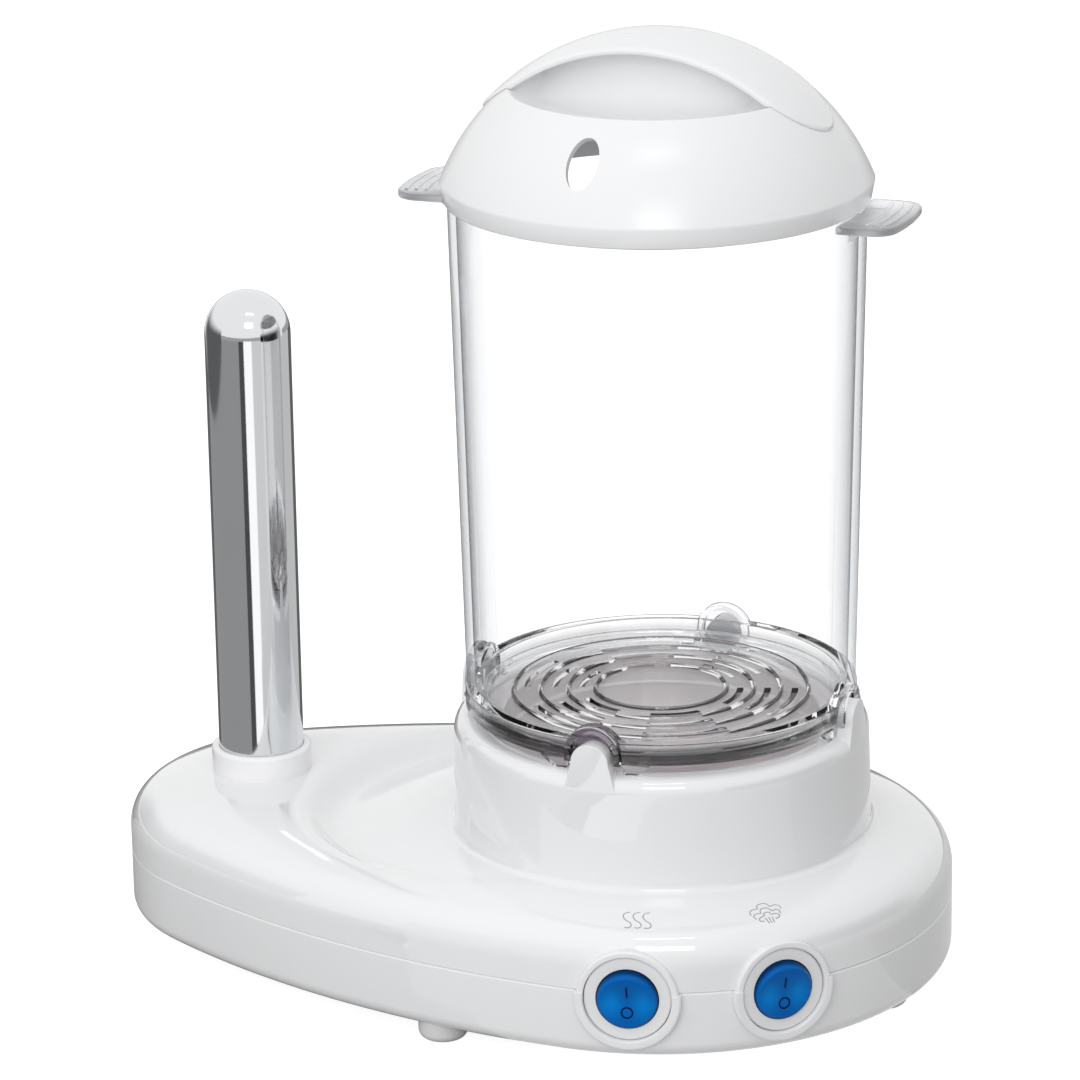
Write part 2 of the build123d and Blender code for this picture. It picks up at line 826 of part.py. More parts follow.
def inlet_bush():
    """Rubber bush for the mains cord, gripped in the back wall."""
    bulge = side_radius - sqrt(side_radius**2 - bush_flange_radius**2)
    inside = housing_wall + bulge + seat_gap
    bush = outward(bush_radius, -inside - bush_flange_thickness, bush_flange_thickness)
    bush += outward(bush_flange_radius, -inside - bush_flange_thickness, -inside)
    bush += outward(bush_flange_radius, seat_gap, bush_flange_thickness)
    nose = Cone(bush_flange_radius, bush_nose_tip_radius, bush_nose_length, align=on_base)
    bush += Pos(0, 0, bush_flange_thickness) * nose
    bush -= outward(bush_bore_radius, -bush_flange_radius, side_radius)
    return bush_place().location * bush


def terminal_block():
    """Three-pole block on the tray's floor behind the inlet."""
    place = bush_place()
    centre = place.origin - place.z_dir * block_inset
    turn = degrees(atan2(place.z_dir.Y, place.z_dir.X)) - 90
    block = Box(block_length, block_width, block_height, align=on_base)
    for i in range(block_pole_count):
        x = (i - (block_pole_count - 1) / 2) * block_pole_pitch
        block -= Pos(x, 0, block_height / 3) * Rot(90, 0, 0) * Cylinder(block_wire_radius, block_width * 2)
        block -= Pos(x, 0, block_height) * Cylinder(block_screw_radius, 2 * block_screw_depth)
    return Pos(centre.X, centre.Y, floor_top_z) * Rot(0, 0, turn) * block


def pot_shell():
    """Tapered clear wall on a stepped ring."""
    low = collar_z + pot_foot_height
    ring_top = low + pot_ring_height
    top = collar_z + pot_top_rise
    corners = [
        (pot_ledge_radius, low, 0),
        (pot_ring_radius, low, 0),
        (pot_ring_radius, ring_top, 0),
        (pot_base_radius, ring_top, 0),
        (pot_top_radius, top, 0),
        (pot_top_radius - pot_wall, top, 0),
        (pot_base_radius - pot_wall, ring_top, 0),
        (pot_ring_inner_radius, ring_top, 0),
        (pot_ring_inner_radius, low + pot_ledge_height, 0),
        (pot_ledge_radius, low + pot_ledge_height, 0),
    ]
    return turned(corners, pot_x)


def arch_face(grow):
    """Front view of an arch: upright sides and a round top, grown all round by grow."""
    half = arch_half_width + grow
    spring = collar_z + arch_rise
    low = collar_z - overrun
    edges = [
        Line((-half, low), (-half, spring)),
        ThreePointArc((-half, spring), (0, spring + half), (half, spring)),
        Line((half, spring), (half, low)),
        Line((half, low), (-half, low)),
    ]
    return Face(Wire(edges))


def arch_block(grow, inner, outer):
    """An arch across the front wall between two radii."""
    front = Plane(origin=(pot_x, -outer, 0), x_dir=(1, 0, 0), z_dir=(0, -1, 0))
    return extrude(front * arch_face(grow), outer - inner, dir=(0, 1, 0))


def pot_feet():
    """Two small feet beside the front arch, down to the collar."""
    span = arch_half_width + arch_rim_width
    depth = pot_foot_depth
    pair = []
    for side in (-1, 1):
        x = pot_x + side * (span + pot_foot_width / 2)
        y = -(pot_ring_inner_radius + depth / 2)
        foot = Box(pot_foot_width, depth, pot_foot_height, align=on_base)
        pair.append(Pos(x, y, collar_z) * foot)
    return pair


def pot_handle():
    """The side handle towards +X: a thin tongue with finger ribs and two gussets below."""
    high = collar_z + pot_top_rise - pot_handle_drop
    low = high - pot_handle_thickness
    reach = pot_handle_reach
    half = pot_handle_half_width
    slab = Pos(pot_x + reach / 2, 0, low) * Box(reach, 2 * half, pot_handle_thickness, align=on_base)
    slab &= upright(reach, low - overrun, high + overrun, pot_x)
    tips = slab.edges().filter_by(Axis.Z).group_by(Axis.X)[-1]
    slab = fillet(tips, pot_handle_corner)
    axis = Axis((pot_x, 0, 0), (0, 0, 1))
    for i in range(pot_handle_ribs):
        radius = reach - (i + 1) * handle_rib_pitch
        corners = [
            (radius - handle_rib_width / 2, high, 0),
            (radius + handle_rib_width / 2, high, 0),
            (radius + handle_rib_width / 2, high + handle_rib_height, 0),
            (radius - handle_rib_width / 2, high + handle_rib_height, 0),
        ]
        rib = turned(corners, pot_x, 2 * handle_rib_half_angle)
        slab += rib.rotate(axis, -handle_rib_half_angle)
    inner = pot_top_radius - pot_wall / 2
    for side in (-1, 1):
        points = [(inner, low), (pot_top_radius + gusset_reach, low), (inner, low - gusset_height)]
        plane = Plane(
            origin=(pot_x, side * gusset_offset + gusset_thickness / 2, 0), x_dir=(1, 0, 0), z_dir=(0, -1, 0)
        )
        slab += extrude(plane * make_face(Polyline(*points, close=True)), gusset_thickness)
    return slab - upright(inner, low - 2 * gusset_height, high + overrun, pot_x)


def container():
    """Clear container: wall, ring, arches over the tabs, feet and two handles."""
    pot = pot_shell()
    rim_outer = pot_ring_radius + arch_rim_proud
    over_foot = upright(pot_handle_reach, collar_z + pot_foot_height, collar_z + pot_top_rise, pot_x)
    rim = arch_block(arch_rim_width, arch_pocket_radius - overrun, rim_outer) & over_foot
    for copy in around(rim, tab_count):
        pot += copy
    for foot in pot_feet():
        for copy in around(foot, tab_count):
            pot += copy
    for notch in around(arch_block(0, arch_pocket_radius, rim_outer + overrun), tab_count):
        pot -= notch
    handle = pot_handle()
    for copy in around(handle, 2):
        pot += copy
    return pot


def container_floor():
    """Slotted disc with round ribs that lies on the ring's ledge."""
    low = collar_z + pot_foot_height + pot_ledge_height
    high = low + floor_thickness
    disc = upright(pot_floor_radius, low, high, pot_x)
    for radius in floor_rib_radii:
        rib = upright(radius + floor_rib_width / 2, high, high + floor_rib_height, pot_x)
        disc += rib - upright(radius - floor_rib_width / 2, low, high + 2 * floor_rib_height, pot_x)
    for radius in slot_radii:
        corners = [
            (radius - slot_width / 2, low - overrun, 0),
            (radius + slot_width / 2, low - overrun, 0),
            (radius + slot_width / 2, high + overrun, 0),
            (radius - slot_width / 2, high + overrun, 0),
        ]
        slot = turned(corners, pot_x, slot_arc)
        for copy in around(slot, slot_count, -slot_arc / 2):
            disc -= copy
    return disc


def lid_sphere():
    """Radius and centre height of the lid's outer dome."""
    radius = (lid_radius**2 + lid_rise**2) / (2 * lid_rise)
    return radius, lid_shoulder_z() + lid_rise - radius


def lid_low_z():
    """Height of the lid's lower edge, just over the container's handles."""
    return collar_z + pot_top_rise - pot_handle_drop + lid_lip_gap_z


def lid_shoulder_z():
    """Height at which the lid's band meets its dome."""
    return lid_low_z() + lid_band_height


def hollow_sphere():
    """Radius and centre height of the finger hollow's floor."""
    radius, centre = lid_sphere()
    edge_z = centre + sqrt(radius**2 - grip_hollow_radius**2)
    floor_radius = (grip_hollow_radius**2 + grip_hollow_sag**2) / (2 * grip_hollow_sag)
    return floor_radius, edge_z - grip_hollow_sag + floor_radius


def circle_spot(radius, centre, r, sign=1):
    """The point at distance r from the axis on a circle about the axis."""
    return (r, 0, centre + sign * sqrt(radius**2 - r**2))


def lid_dome():
    """Domed lid with a band, a lip over the container's rim, a spigot in it and a hollow top."""
    outer, outer_z = lid_sphere()
    floor, floor_z = hollow_sphere()
    inner = outer - lid_wall
    under = floor + lid_wall
    gap = floor_z - outer_z
    meet_rise = (gap**2 + inner**2 - under**2) / (2 * gap)
    meet_r = sqrt(inner**2 - meet_rise**2)
    shelf_r = lid_radius - lid_wall - lid_band_draw / 2
    rim_z = collar_z + pot_top_rise
    spigot_r = pot_top_radius - pot_wall - lid_spigot_fit
    lip_r = pot_top_radius + lid_lip_gap
    edges = [
        ThreePointArc(
            circle_spot(under, floor_z, 0, -1),
            circle_spot(under, floor_z, meet_r / 2, -1),
            circle_spot(under, floor_z, meet_r, -1),
        ),
        ThreePointArc(
            circle_spot(inner, outer_z, meet_r),
            circle_spot(inner, outer_z, (meet_r + shelf_r) / 2),
            circle_spot(inner, outer_z, shelf_r),
        ),
    ]
    shelf_z = rim_z + lid_wall
    line_points = [
        circle_spot(inner, outer_z, shelf_r),
        (shelf_r, 0, shelf_z),
        (spigot_r - lid_spigot_wall, 0, shelf_z),
        (spigot_r - lid_spigot_wall, 0, rim_z - lid_spigot_depth),
        (spigot_r, 0, rim_z - lid_spigot_depth),
        (spigot_r, 0, rim_z),
        (lip_r, 0, rim_z),
        (lip_r, 0, lid_low_z()),
        (lid_radius - lid_band_draw, 0, lid_low_z()),
        (lid_radius, 0, lid_shoulder_z()),
    ]
    for start, end in zip(line_points, line_points[1:]):
        edges.append(Line(start, end))
    edges += [
        ThreePointArc(
            circle_spot(outer, outer_z, lid_radius),
            circle_spot(outer, outer_z, (lid_radius + grip_hollow_radius) / 2),
            circle_spot(outer, outer_z, grip_hollow_radius),
        ),
        ThreePointArc(
            circle_spot(floor, floor_z, grip_hollow_radius, -1),
            circle_spot(floor, floor_z, grip_hollow_radius / 2, -1),
            circle_spot(floor, floor_z, 0, -1),
        ),
        Line(circle_spot(floor, floor_z, 0, -1), circle_spot(under, floor_z, 0, -1)),
    ]
    dome = Pos(pot_x, 0, 0) * revolve(Face(Wire.combine(edges)[0]), Axis.Z)
    return dome - vent_tool()


def vent_tool():
    """Oval cutter for the steam vent, square to the dome's front."""
    radius, centre = lid_sphere()
    tilt = radians(vent_tilt)
    oval = extrude(Ellipse(vent_width / 2, vent_height / 2), lid_wall * 4, both=True)
    out = (0, -cos(tilt), sin(tilt))
    plane = Plane(origin=(0, radius * out[1], centre + radius * out[2]), x_dir=(1, 0, 0), z_dir=out)
    axis = Axis((pot_x, 0, 0), (0, 0, 1))
    return (Pos(pot_x, 0, 0) * plane.location * oval).rotate(axis, -vent_turn)


def lid_handle():
    """Arched bar over the finger hollow, on a web, with proud round ends on the dome."""
    radius, centre = lid_sphere()
    floor, floor_z = hollow_sphere()
    top = centre + radius + grip_proud
    skin_base = radius + seat_gap
    plan = SlotOverall(2 * grip_half_length, 2 * grip_half_width)
    prism = Pos(pot_x, 0, lid_shoulder_z()) * extrude(plan, top - lid_shoulder_z() + overrun)
    skin = (ball(radius + grip_proud, pot_x, centre) - ball(skin_base, pot_x, centre)) & prism
    well = upright(grip_hollow_radius - grip_end_gap, lid_shoulder_z(), top + overrun, pot_x)
    above_floor = well & ball(floor - seat_gap, pot_x, floor_z)
    bar = ball(radius + grip_proud / 2, pot_x, centre) - ball(radius - grip_thickness, pot_x, centre)
    bar &= Pos(pot_x, 0, centre + radius) * Box(2 * grip_half_length, 2 * grip_half_width, 2 * radius)
    web = Pos(pot_x, 0, centre + radius) * Box(2 * grip_half_length, 2 * grip_web_half_width, 2 * radius)
    web &= ball(radius, pot_x, centre)
    return skin + (bar & above_floor) + (web & above_floor)


pieces = {
    "base_upper_housing": upper_housing(),
    "base_lower_housing": lower_housing(),
    "feet": feet(),
    "housing_screws": screws(),
    "spike_tube": spike_tube(),
    "spike_ring": spike_ring(),
    "spike_nut": spike_nut(),
    "spike_heater": spike_heater(),
    "water_dish": water_dish(),
    "dish_seal": dish_seal(),
    "dish_retainer": dish_retainer(),
    "dish_heater": dish_heater(),
    "thermostat": thermostat(),
    "thermostat_bracket": thermostat_bracket(),
    "thermal_fuse": thermal_fuse(),
    "inlet_bush": inlet_bush(),
    "terminal_block": terminal_block(),
    "container": container(),
    "container_floor": container_floor(),
    "lid_dome": lid_dome(),
    "lid_handle": lid_handle(),
}
for name, angle in switch_angles.items():
    place = switch_place(angle).location
    pieces[name + "_body"] = place * switch_body()
    pieces[name + "_rocker"] = place * rocker_body()
    pieces[name + "_terminals"] = [place * spot * blade(0) for spot in blade_places()]

os.makedirs("parts", exist_ok=True)
for name, piece in pieces.items():
    solids = piece if isinstance(piece, list) else piece.solids()
    shape = solids[0] if len(solids) == 1 else Compound(children=list(solids))
    shape.label = name
    export_step(shape, "parts/" + name + ".step")
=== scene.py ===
from math import asin, atan2, cos, hypot, pi, radians, sin, sqrt, tan, tau

import bpy
import numpy as np
from bpy.props import FloatProperty, FloatVectorProperty, IntProperty, PointerProperty
from mathutils import Matrix, Vector


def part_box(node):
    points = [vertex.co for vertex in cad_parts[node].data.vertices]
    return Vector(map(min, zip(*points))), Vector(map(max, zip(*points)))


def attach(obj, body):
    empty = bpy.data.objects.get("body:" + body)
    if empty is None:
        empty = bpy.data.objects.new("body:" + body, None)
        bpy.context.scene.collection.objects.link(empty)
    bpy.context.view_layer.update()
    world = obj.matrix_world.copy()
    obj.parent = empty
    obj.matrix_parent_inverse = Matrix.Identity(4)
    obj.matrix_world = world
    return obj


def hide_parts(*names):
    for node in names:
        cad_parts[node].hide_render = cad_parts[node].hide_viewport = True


bl_info = {
    "name": "Countertop Cooker",
    "version": (1, 0, 0),
    "blender": (4, 5, 0),
    "location": "3D View > Sidebar > Cooker",
    "description": "Dresses the packed cooker with its shell, spike, container, lid and studio",
    "category": "Object",
}

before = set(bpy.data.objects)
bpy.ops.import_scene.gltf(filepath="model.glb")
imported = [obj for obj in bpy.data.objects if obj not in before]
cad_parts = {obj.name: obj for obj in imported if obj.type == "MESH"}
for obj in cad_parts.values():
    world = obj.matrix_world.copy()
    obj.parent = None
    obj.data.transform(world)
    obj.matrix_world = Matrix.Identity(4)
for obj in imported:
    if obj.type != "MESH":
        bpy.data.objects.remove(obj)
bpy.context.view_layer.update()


def middle_x(node):
    low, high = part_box(node)
    return (low.x + high.x) / 2


# ---------------------------------------------------------------- shared places and sizes

MM = 0.001
POT_X = middle_x("container_floor")
SPIKE_X = middle_x("spike_ring")

COLLAR_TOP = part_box("base_upper_housing")[1].z - 12 * MM
COLLAR_HEAD = 76 * MM
COLLAR_FOOT = 77 * MM
FOOT_FLARE = 3 * MM
EDGE_RADIUS = 14 * MM
EDGE_TURN = radians(70)
CROWN_RADIUS = 80 * MM
FEET = ((0, -91 * MM), (140.5 * MM, -11 * MM), (0, 91 * MM), (-140.5 * MM, 11 * MM))
FOOT_RADIUS = 9 * MM
FOOT_TOP = 8.2 * MM

SWITCH_ANGLES = {"spike_switch": 13.0, "dish_switch": 43.0}
SWITCH_REACH = 107.2 * MM
SWITCH_BORE = 17.6 * MM
SWITCH_Z = 30 * MM
ROCKER_PIVOT = -4 * MM

# The container's ring and arches, as rises over the collar
RING_LOW = 4 * MM
RING_HIGH = 12 * MM
ARCH_RISE = 7 * MM
ARCH_HALF = 8.3 * MM
ARCH_BORDER = 2.3 * MM
CONTAINER_TOP = COLLAR_TOP + 196 * MM

WHITE = (1, 1, 1, 1)
BLACK = (0, 0, 0, 1)


# ---------------------------------------------------------------- shader sums


class Value:
    """A shader socket that takes part in sums as a number does."""

    def __init__(self, tree, socket):
        self.tree = tree
        self.socket = socket

    def math(self, operation, *values):
        return self.tree.node("ShaderNodeMath", {"operation": operation}, dict(enumerate(values)))

    def __add__(self, other):
        return self.math("ADD", self, other)

    def __radd__(self, other):
        return self.math("ADD", other, self)

    def __sub__(self, other):
        return self.math("SUBTRACT", self, other)

    def __rsub__(self, other):
        return self.math("SUBTRACT", other, self)

    def __mul__(self, other):
        return self.math("MULTIPLY", self, other)

    def __abs__(self):
        return self.math("ABSOLUTE", self)


class Tree:
    """A node tree with one way to add a node and join it up."""

    def __init__(self, tree):
        self.tree = tree
        tree.nodes.clear()

    def join(self, value, socket):
        """Links a value to a socket, or sets the socket to a number or colour."""
        if isinstance(value, Value):
            self.tree.links.new(value.socket, socket)
        else:
            socket.default_value = value

    def node(self, kind, settings=(), inputs=(), output=0):
        made = self.tree.nodes.new(kind)
        for setting, value in dict(settings).items():
            setattr(made, setting, value)
        for socket, value in dict(inputs).items():
            self.join(value, made.inputs[socket])
        return Value(self, made.outputs[output])

    def axes(self, place):
        """The three coordinates of a place."""
        split = self.tree.nodes.new("ShaderNodeSeparateXYZ")
        self.join(place, split.inputs[0])
        return [Value(self, socket) for socket in split.outputs]

    def rays(self, *kinds):
        """1 for rays of any of these kinds, 0 for all others."""
        first, *rest = [self.node("ShaderNodeLightPath", output=f"Is {kind} Ray") for kind in kinds]
        return first.math("MINIMUM", sum(rest, first), 1.0)

    def place(self, squeeze=(1, 1, 1)):
        """Object coordinates, stretched where a pattern runs along the piece."""
        spot = self.node("ShaderNodeTexCoord", output="Object")
        return self.node("ShaderNodeMapping", inputs={"Vector": spot, "Scale": squeeze})

    def noise(self, place, scale, detail=2.0):
        return self.node("ShaderNodeTexNoise", inputs={"Vector": place, "Scale": scale, "Detail": detail})

    def mixed(self, share, low, high):
        """A shader between two others."""
        mix = self.tree.nodes.new("ShaderNodeMixShader")
        self.join(share, mix.inputs[0])
        self.tree.links.new(low, mix.inputs[1])
        self.tree.links.new(high, mix.inputs[2])
        return mix.outputs[0]

    def clear(self, tint):
        """A shader that light goes straight through."""
        through = self.tree.nodes.new("ShaderNodeBsdfTransparent")
        through.inputs["Color"].default_value = tint
        return through.outputs[0]

    def blend(self, share, low, high):
        """A colour between two others."""
        settings = {"data_type": "RGBA"}
        return self.node("ShaderNodeMix", settings, {"Factor": share, 6: low, 7: high}, 2)


class Finish(Tree):
    """A material that ends in one plastic, metal or glass shader."""

    def __init__(self, name, **constants):
        self.material = bpy.data.materials.new(name)
        self.material.use_nodes = True
        super().__init__(self.material.node_tree)
        self.shader = self.tree.nodes.new("ShaderNodeBsdfPrincipled")
        self.output = self.tree.nodes.new("ShaderNodeOutputMaterial")
        self.tree.links.new(self.shader.outputs[0], self.output.inputs[0])
        for socket, value in constants.items():
            self.set(socket.replace("_", " ").title().replace("Ior", "IOR"), value)

    def set(self, socket, value):
        self.join(value, self.shader.inputs[socket])

    def vary(self, share, colour, low, high):
        """A base colour that drifts between two shades of one colour."""
        self.set("Base Color", self.blend(share, shade(colour, low), shade(colour, high)))

    def glow(self, colour, strength):
        """Light of its own, which the object sees but doesn't sample as a lamp."""
        self.set("Emission Color", colour)
        self.set("Emission Strength", strength)
        self.material.cycles.emission_sampling = "NONE"

    def relief(self, height, depth):
        """Bump that stands depth metres high."""
        self.set("Normal", self.node("ShaderNodeBump", inputs={"Height": height, "Distance": depth}))


def shade(colour, factor):
    return tuple(min(1.0, c * factor) for c in colour[:3]) + (1.0,)


def moulded_gloss(name, colour, roughness=0.13, peel=0.5, coat=0.0):
    """Glossy moulded plastic: a faint drift of tone, soft orange peel, gloss that varies."""
    finish = Finish(name, specular_ior_level=0.5, coat_weight=coat, coat_roughness=0.02)
    place = finish.place()
    finish.vary(finish.noise(place, 14.0), colour, 0.985, 1.01)
    rub = finish.noise(place, 90.0, 4.0)
    finish.set("Roughness", roughness * 0.7 + rub * roughness * 0.6)
    if peel:
        finish.relief(finish.noise(place, 260.0, 1.0), 0.00002 * peel)
    return finish.material


def moulded_matte(name, colour, roughness=0.5, grain=500.0, shine=0.4):
    """Fine-grained plastic or rubber."""
    finish = Finish(name, specular_ior_level=shine)
    place = finish.place()
    finish.vary(finish.noise(place, 60.0, 3.0), colour, 0.94, 1.04)
    fine = finish.noise(place, grain, 3.0)
    finish.set("Roughness", roughness - 0.06 + fine * 0.12)
    finish.relief(fine, 0.00006)
    return finish.material


def turned_metal(name, colour, x, roughness):
    """Metal with fine rings about the upright axis at x, as from a lathe or a spinning former."""
    finish = Finish(name, metallic=1.0)
    far, _, _ = radius_and_height(finish, x)
    pitch = 1400.0
    grooves = finish.node("ShaderNodeTexNoise", {"noise_dimensions": "1D"}, {"W": far, "Scale": pitch, "Detail": 2.0})
    finish.vary(finish.noise(finish.place(), 40.0, 3.0), colour, 0.93, 1.05)
    finish.set("Roughness", roughness - 0.06 + grooves * 0.12)
    finish.relief(grooves, 0.000012)
    return finish.material


def brushed_metal(name, colour, roughness=0.32):
    """Metal with a fine grain across the upright."""
    finish = Finish(name, metallic=1.0)
    grain = finish.noise(finish.place((1, 1, 30)), 120.0, 3.0)
    finish.vary(grain, colour, 0.9, 1.06)
    finish.set("Roughness", roughness - 0.08 + grain * 0.16)
    finish.relief(grain, 0.00001)
    return finish.material


def polished_chrome(name, colour):
    """Bright plating with the faintest lengthwise polish lines and haze."""
    finish = Finish(name, metallic=1.0)
    lines = finish.noise(finish.place((1, 1, 0.02)), 900.0, 2.0)
    haze = finish.noise(finish.place(), 35.0, 3.0)
    finish.vary(haze, colour, 0.97, 1.02)
    finish.set("Roughness", 0.05 + haze * 0.03 + lines * 0.02)
    finish.relief(lines, 0.000002)
    return finish.material


def radius_and_height(finish, x):
    """How far a spot lies from the upright axis at x, how high, and how far from its nearest quarter line."""
    spot = finish.node("ShaderNodeTexCoord", output="Object")
    place = finish.node("ShaderNodeMapping", inputs={"Vector": spot, "Location": (-x, 0, 0)})
    across, along, up = finish.axes(place)
    square = across * across + along * along
    return square.math("SQRT", square), up, across.math("MINIMUM", abs(across), abs(along))


def step_up(finish, value, low, high):
    """0 below low, 1 over high and smooth between."""
    settings = {"interpolation_type": "SMOOTHSTEP"}
    return finish.node("ShaderNodeMapRange", settings, {"Value": value, "From Min": low, "From Max": high})


def clear_plastic(name, tint, zoned=True):
    """Clear styrene. In the zoned one the ring has a painted dark band at floor height and the arches painted shade,
    both standing in for dark things seen through them; the handles are hazy and the wall is thin, with painted shade at
    its grazing edges.
    """
    finish = Finish(name, transmission_weight=1.0, ior=1.5)
    place = finish.place()
    flow = finish.noise(finish.place((1, 1, 0.15)), 30.0, 2.0)
    clear = finish.blend(flow, shade(tint, 0.99), shade(tint, 1.0))
    haze = finish.noise(place, 200.0, 3.0) * 0.01 + 0.01
    if zoned:
        # where the handles begin, the part of the ring's height with the painted dark band, and the front fading to the
        # back
        handle_start = (75.2 * MM, 75.8 * MM)
        dark_foot, dark_head = (3.6 * MM, 3.9 * MM), (8.6 * MM, 10.2 * MM)
        front_to_back = (-55 * MM, -10 * MM)
        far, up, aside = radius_and_height(finish, POT_X)
        grip = step_up(finish, far, *handle_start)
        rise = up - COLLAR_TOP
        over = rise - ARCH_RISE
        edge = ARCH_HALF + ARCH_BORDER
        arch = 1.0 - step_up(finish, far.math("SQRT", aside * aside + over * over), edge, edge + 0.3 * MM)
        ring = arch.math("MAXIMUM", arch, 1.0 - step_up(finish, rise, RING_HIGH - 0.1 * MM, RING_HIGH + 0.3 * MM))
        back = step_up(finish, finish.axes(place)[1], *front_to_back)
        # painted shade: a dark band round the ring at floor height, standing in for the dark view refracted through it,
        # weaker towards the back
        dark = step_up(finish, rise, *dark_foot) * (1.0 - step_up(finish, rise, *dark_head))
        # painted shade on the arches: dark at the front, pale at the back, for the dark things seen through them
        arch_shade = finish.blend(back, (0.3, 0.27, 0.31, 1), (0.84, 0.83, 0.85, 1))
        clear = finish.blend(grip, clear, (0.8, 0.81, 0.83, 1))
        clear = finish.blend(arch * (1.0 - dark), clear, arch_shade)
        clear = finish.blend(dark * (0.9 - back * 0.55), clear, (0.05, 0.045, 0.05, 1))
        haze = haze + grip * 0.3
    finish.set("Base Color", clear)
    finish.set("Roughness", haze)
    finish.relief(flow, 0.00008)
    out = finish.shader.outputs[0]
    if zoned:
        # painted shade: the thin wall turns grey at grazing angles, standing in for its thickness seen edge-on
        aslant = finish.node("ShaderNodeLayerWeight", inputs={"Blend": 0.5}, output="Facing")
        grazing = aslant.math("POWER", aslant, 4.0)
        thin = finish.mixed(grazing, finish.clear((0.998, 0.999, 1.0, 1)), finish.clear((0.72, 0.74, 0.76, 1)))
        gloss = finish.tree.nodes.new("ShaderNodeBsdfGlossy")
        gloss.inputs["Roughness"].default_value = 0.02
        thin = finish.mixed(aslant.math("POWER", aslant, 5.0) * 0.6 + 0.025, thin, gloss.outputs[0])
        wall = (1.0 - ring) * (1.0 - grip)
        out = finish.mixed(wall, out, thin)
    shadow = finish.node("ShaderNodeLightPath", output="Is Shadow Ray")
    out = finish.mixed(shadow, out, finish.clear((0.93, 0.94, 0.95, 1.0)))
    finish.tree.links.new(out, finish.output.inputs[0])
    return finish.material


def lens_plastic(name, colour):
    """Clear blue plastic over a dark body: deep at the rim, with two pools of painted light inside."""
    finish = Finish(name, specular_ior_level=0.06)
    rim = finish.node("ShaderNodeAttribute", {"attribute_name": "rim"}, output="Fac")
    painted_glow = finish.node("ShaderNodeAttribute", {"attribute_name": "painted_glow"}, output="Fac")
    place = finish.place()
    cloud = finish.noise(place, 160.0, 2.0)
    bright = (colour[0], colour[1] * 1.9, min(1, colour[2] * 1.5), 1)
    # painted light: brighter in two pools inside the lens
    inner = finish.blend(painted_glow * (cloud * 0.5 + 0.7), shade(colour, 1.0), bright)
    inner = finish.blend(step_up(finish, rim, 0.88, 0.97), inner, shade(colour, 0.2))
    finish.set("Base Color", inner)
    finish.set("Roughness", 0.08 + finish.noise(place, 400.0) * 0.05)
    finish.relief(cloud, 0.00001)
    return finish.material


# ---------------------------------------------------------------- shaping


def deselect():
    if bpy.context.mode != "OBJECT":
        bpy.ops.object.mode_set(mode="OBJECT")
    bpy.ops.object.select_all(action="DESELECT")


def pick(*pieces):
    """Selects only these objects, the first of them active."""
    deselect()
    for piece in pieces:
        piece.select_set(True)
    bpy.context.view_layer.objects.active = pieces[0]


def new_piece(name):
    """The object that the last operator added, under its own name."""
    piece = bpy.context.active_object
    piece.name = name
    piece.data.name = name
    return piece


def rounded(corners, turn=12.0):
    """Points of a closed section whose corners (across, up, rounding) are rounded off."""
    points = []
    count = len(corners)
    for i, (x, z, radius) in enumerate(corners):
        here = Vector((x, z))
        if not radius:
            points.append(tuple(here))
            continue
        back = (Vector(corners[i - 1][:2]) - here).normalized()
        ahead = (Vector(corners[(i + 1) % count][:2]) - here).normalized()
        half = back.angle(ahead) / 2
        middle = here + (back + ahead).normalized() * (radius / sin(half))
        start = here + back * (radius / tan(half)) - middle
        sweep = start.angle_signed(here + ahead * (radius / tan(half)) - middle)
        steps = max(2, round(abs(sweep) / radians(turn)))
        for k in range(steps + 1):
            step = start.copy()
            step.rotate(Matrix.Rotation(-sweep * k / steps, 2))
            points.append(tuple(middle + step))
    return points


def ring_of(points):
    """A closed line of edges through points, made from a circle."""
    deselect()
    bpy.ops.mesh.primitive_circle_add(vertices=len(points), radius=1.0)
    for vertex, point in zip(bpy.context.active_object.data.vertices, points):
        vertex.co = point


def edit_all():
    """Opens the active object's mesh with all of it selected."""
    bpy.ops.object.mode_set(mode="EDIT")
    bpy.ops.mesh.select_all(action="SELECT")


def close_up(merge=True):
    """Merges doubles, turns all faces outwards and leaves the mesh."""
    bpy.ops.mesh.select_all(action="SELECT")
    if merge:
        bpy.ops.mesh.remove_doubles(threshold=1e-6)
    bpy.ops.mesh.normals_make_consistent(inside=False)
    bpy.ops.object.mode_set(mode="OBJECT")


def spun(name, section, x=0.0, steps=160):
    """A closed section, points (radius, height), spun about an upright axis at x."""
    ring_of([(x + r, 0.0, z) for r, z in section])
    edit_all()
    bpy.ops.mesh.spin(steps=steps, angle=tau, center=(x, 0, 0), axis=(0, 0, 1))
    close_up()
    return new_piece(name)


def slab(name, outline, depth):
    """A flat outline filled and extruded by the vector depth."""
    ring_of(outline)
    edit_all()
    bpy.ops.mesh.edge_face_add()
    bpy.ops.mesh.extrude_region_move(TRANSFORM_OT_translate={"value": depth})
    close_up(merge=False)
    return new_piece(name)


def smooth(piece, angle=30.0):
    pick(piece)
    bpy.ops.object.shade_smooth_by_angle(angle=radians(angle))


def modify(piece, kind, **settings):
    """Adds a modifier and applies it."""
    pick(piece)
    modifier = piece.modifiers.new(kind.title(), kind)
    for setting, value in settings.items():
        setattr(modifier, setting, value)
    bpy.ops.object.modifier_apply(modifier=modifier.name)


def soften(piece, width, segments):
    """Rounds the sharper edges."""
    modify(piece, "BEVEL", width=width, segments=segments, limit_method="ANGLE", angle_limit=radians(50))


def carve(piece, cutter, operation="DIFFERENCE"):
    """Cuts cutter from piece, or joins it to piece, and deletes the cutter."""
    modify(piece, "BOOLEAN", operation=operation, solver="EXACT", object=cutter)
    bpy.data.objects.remove(cutter)


def joined(name, pieces):
    """One object from several."""
    pick(*pieces)
    if len(pieces) > 1:
        bpy.ops.object.join()
    return new_piece(name)


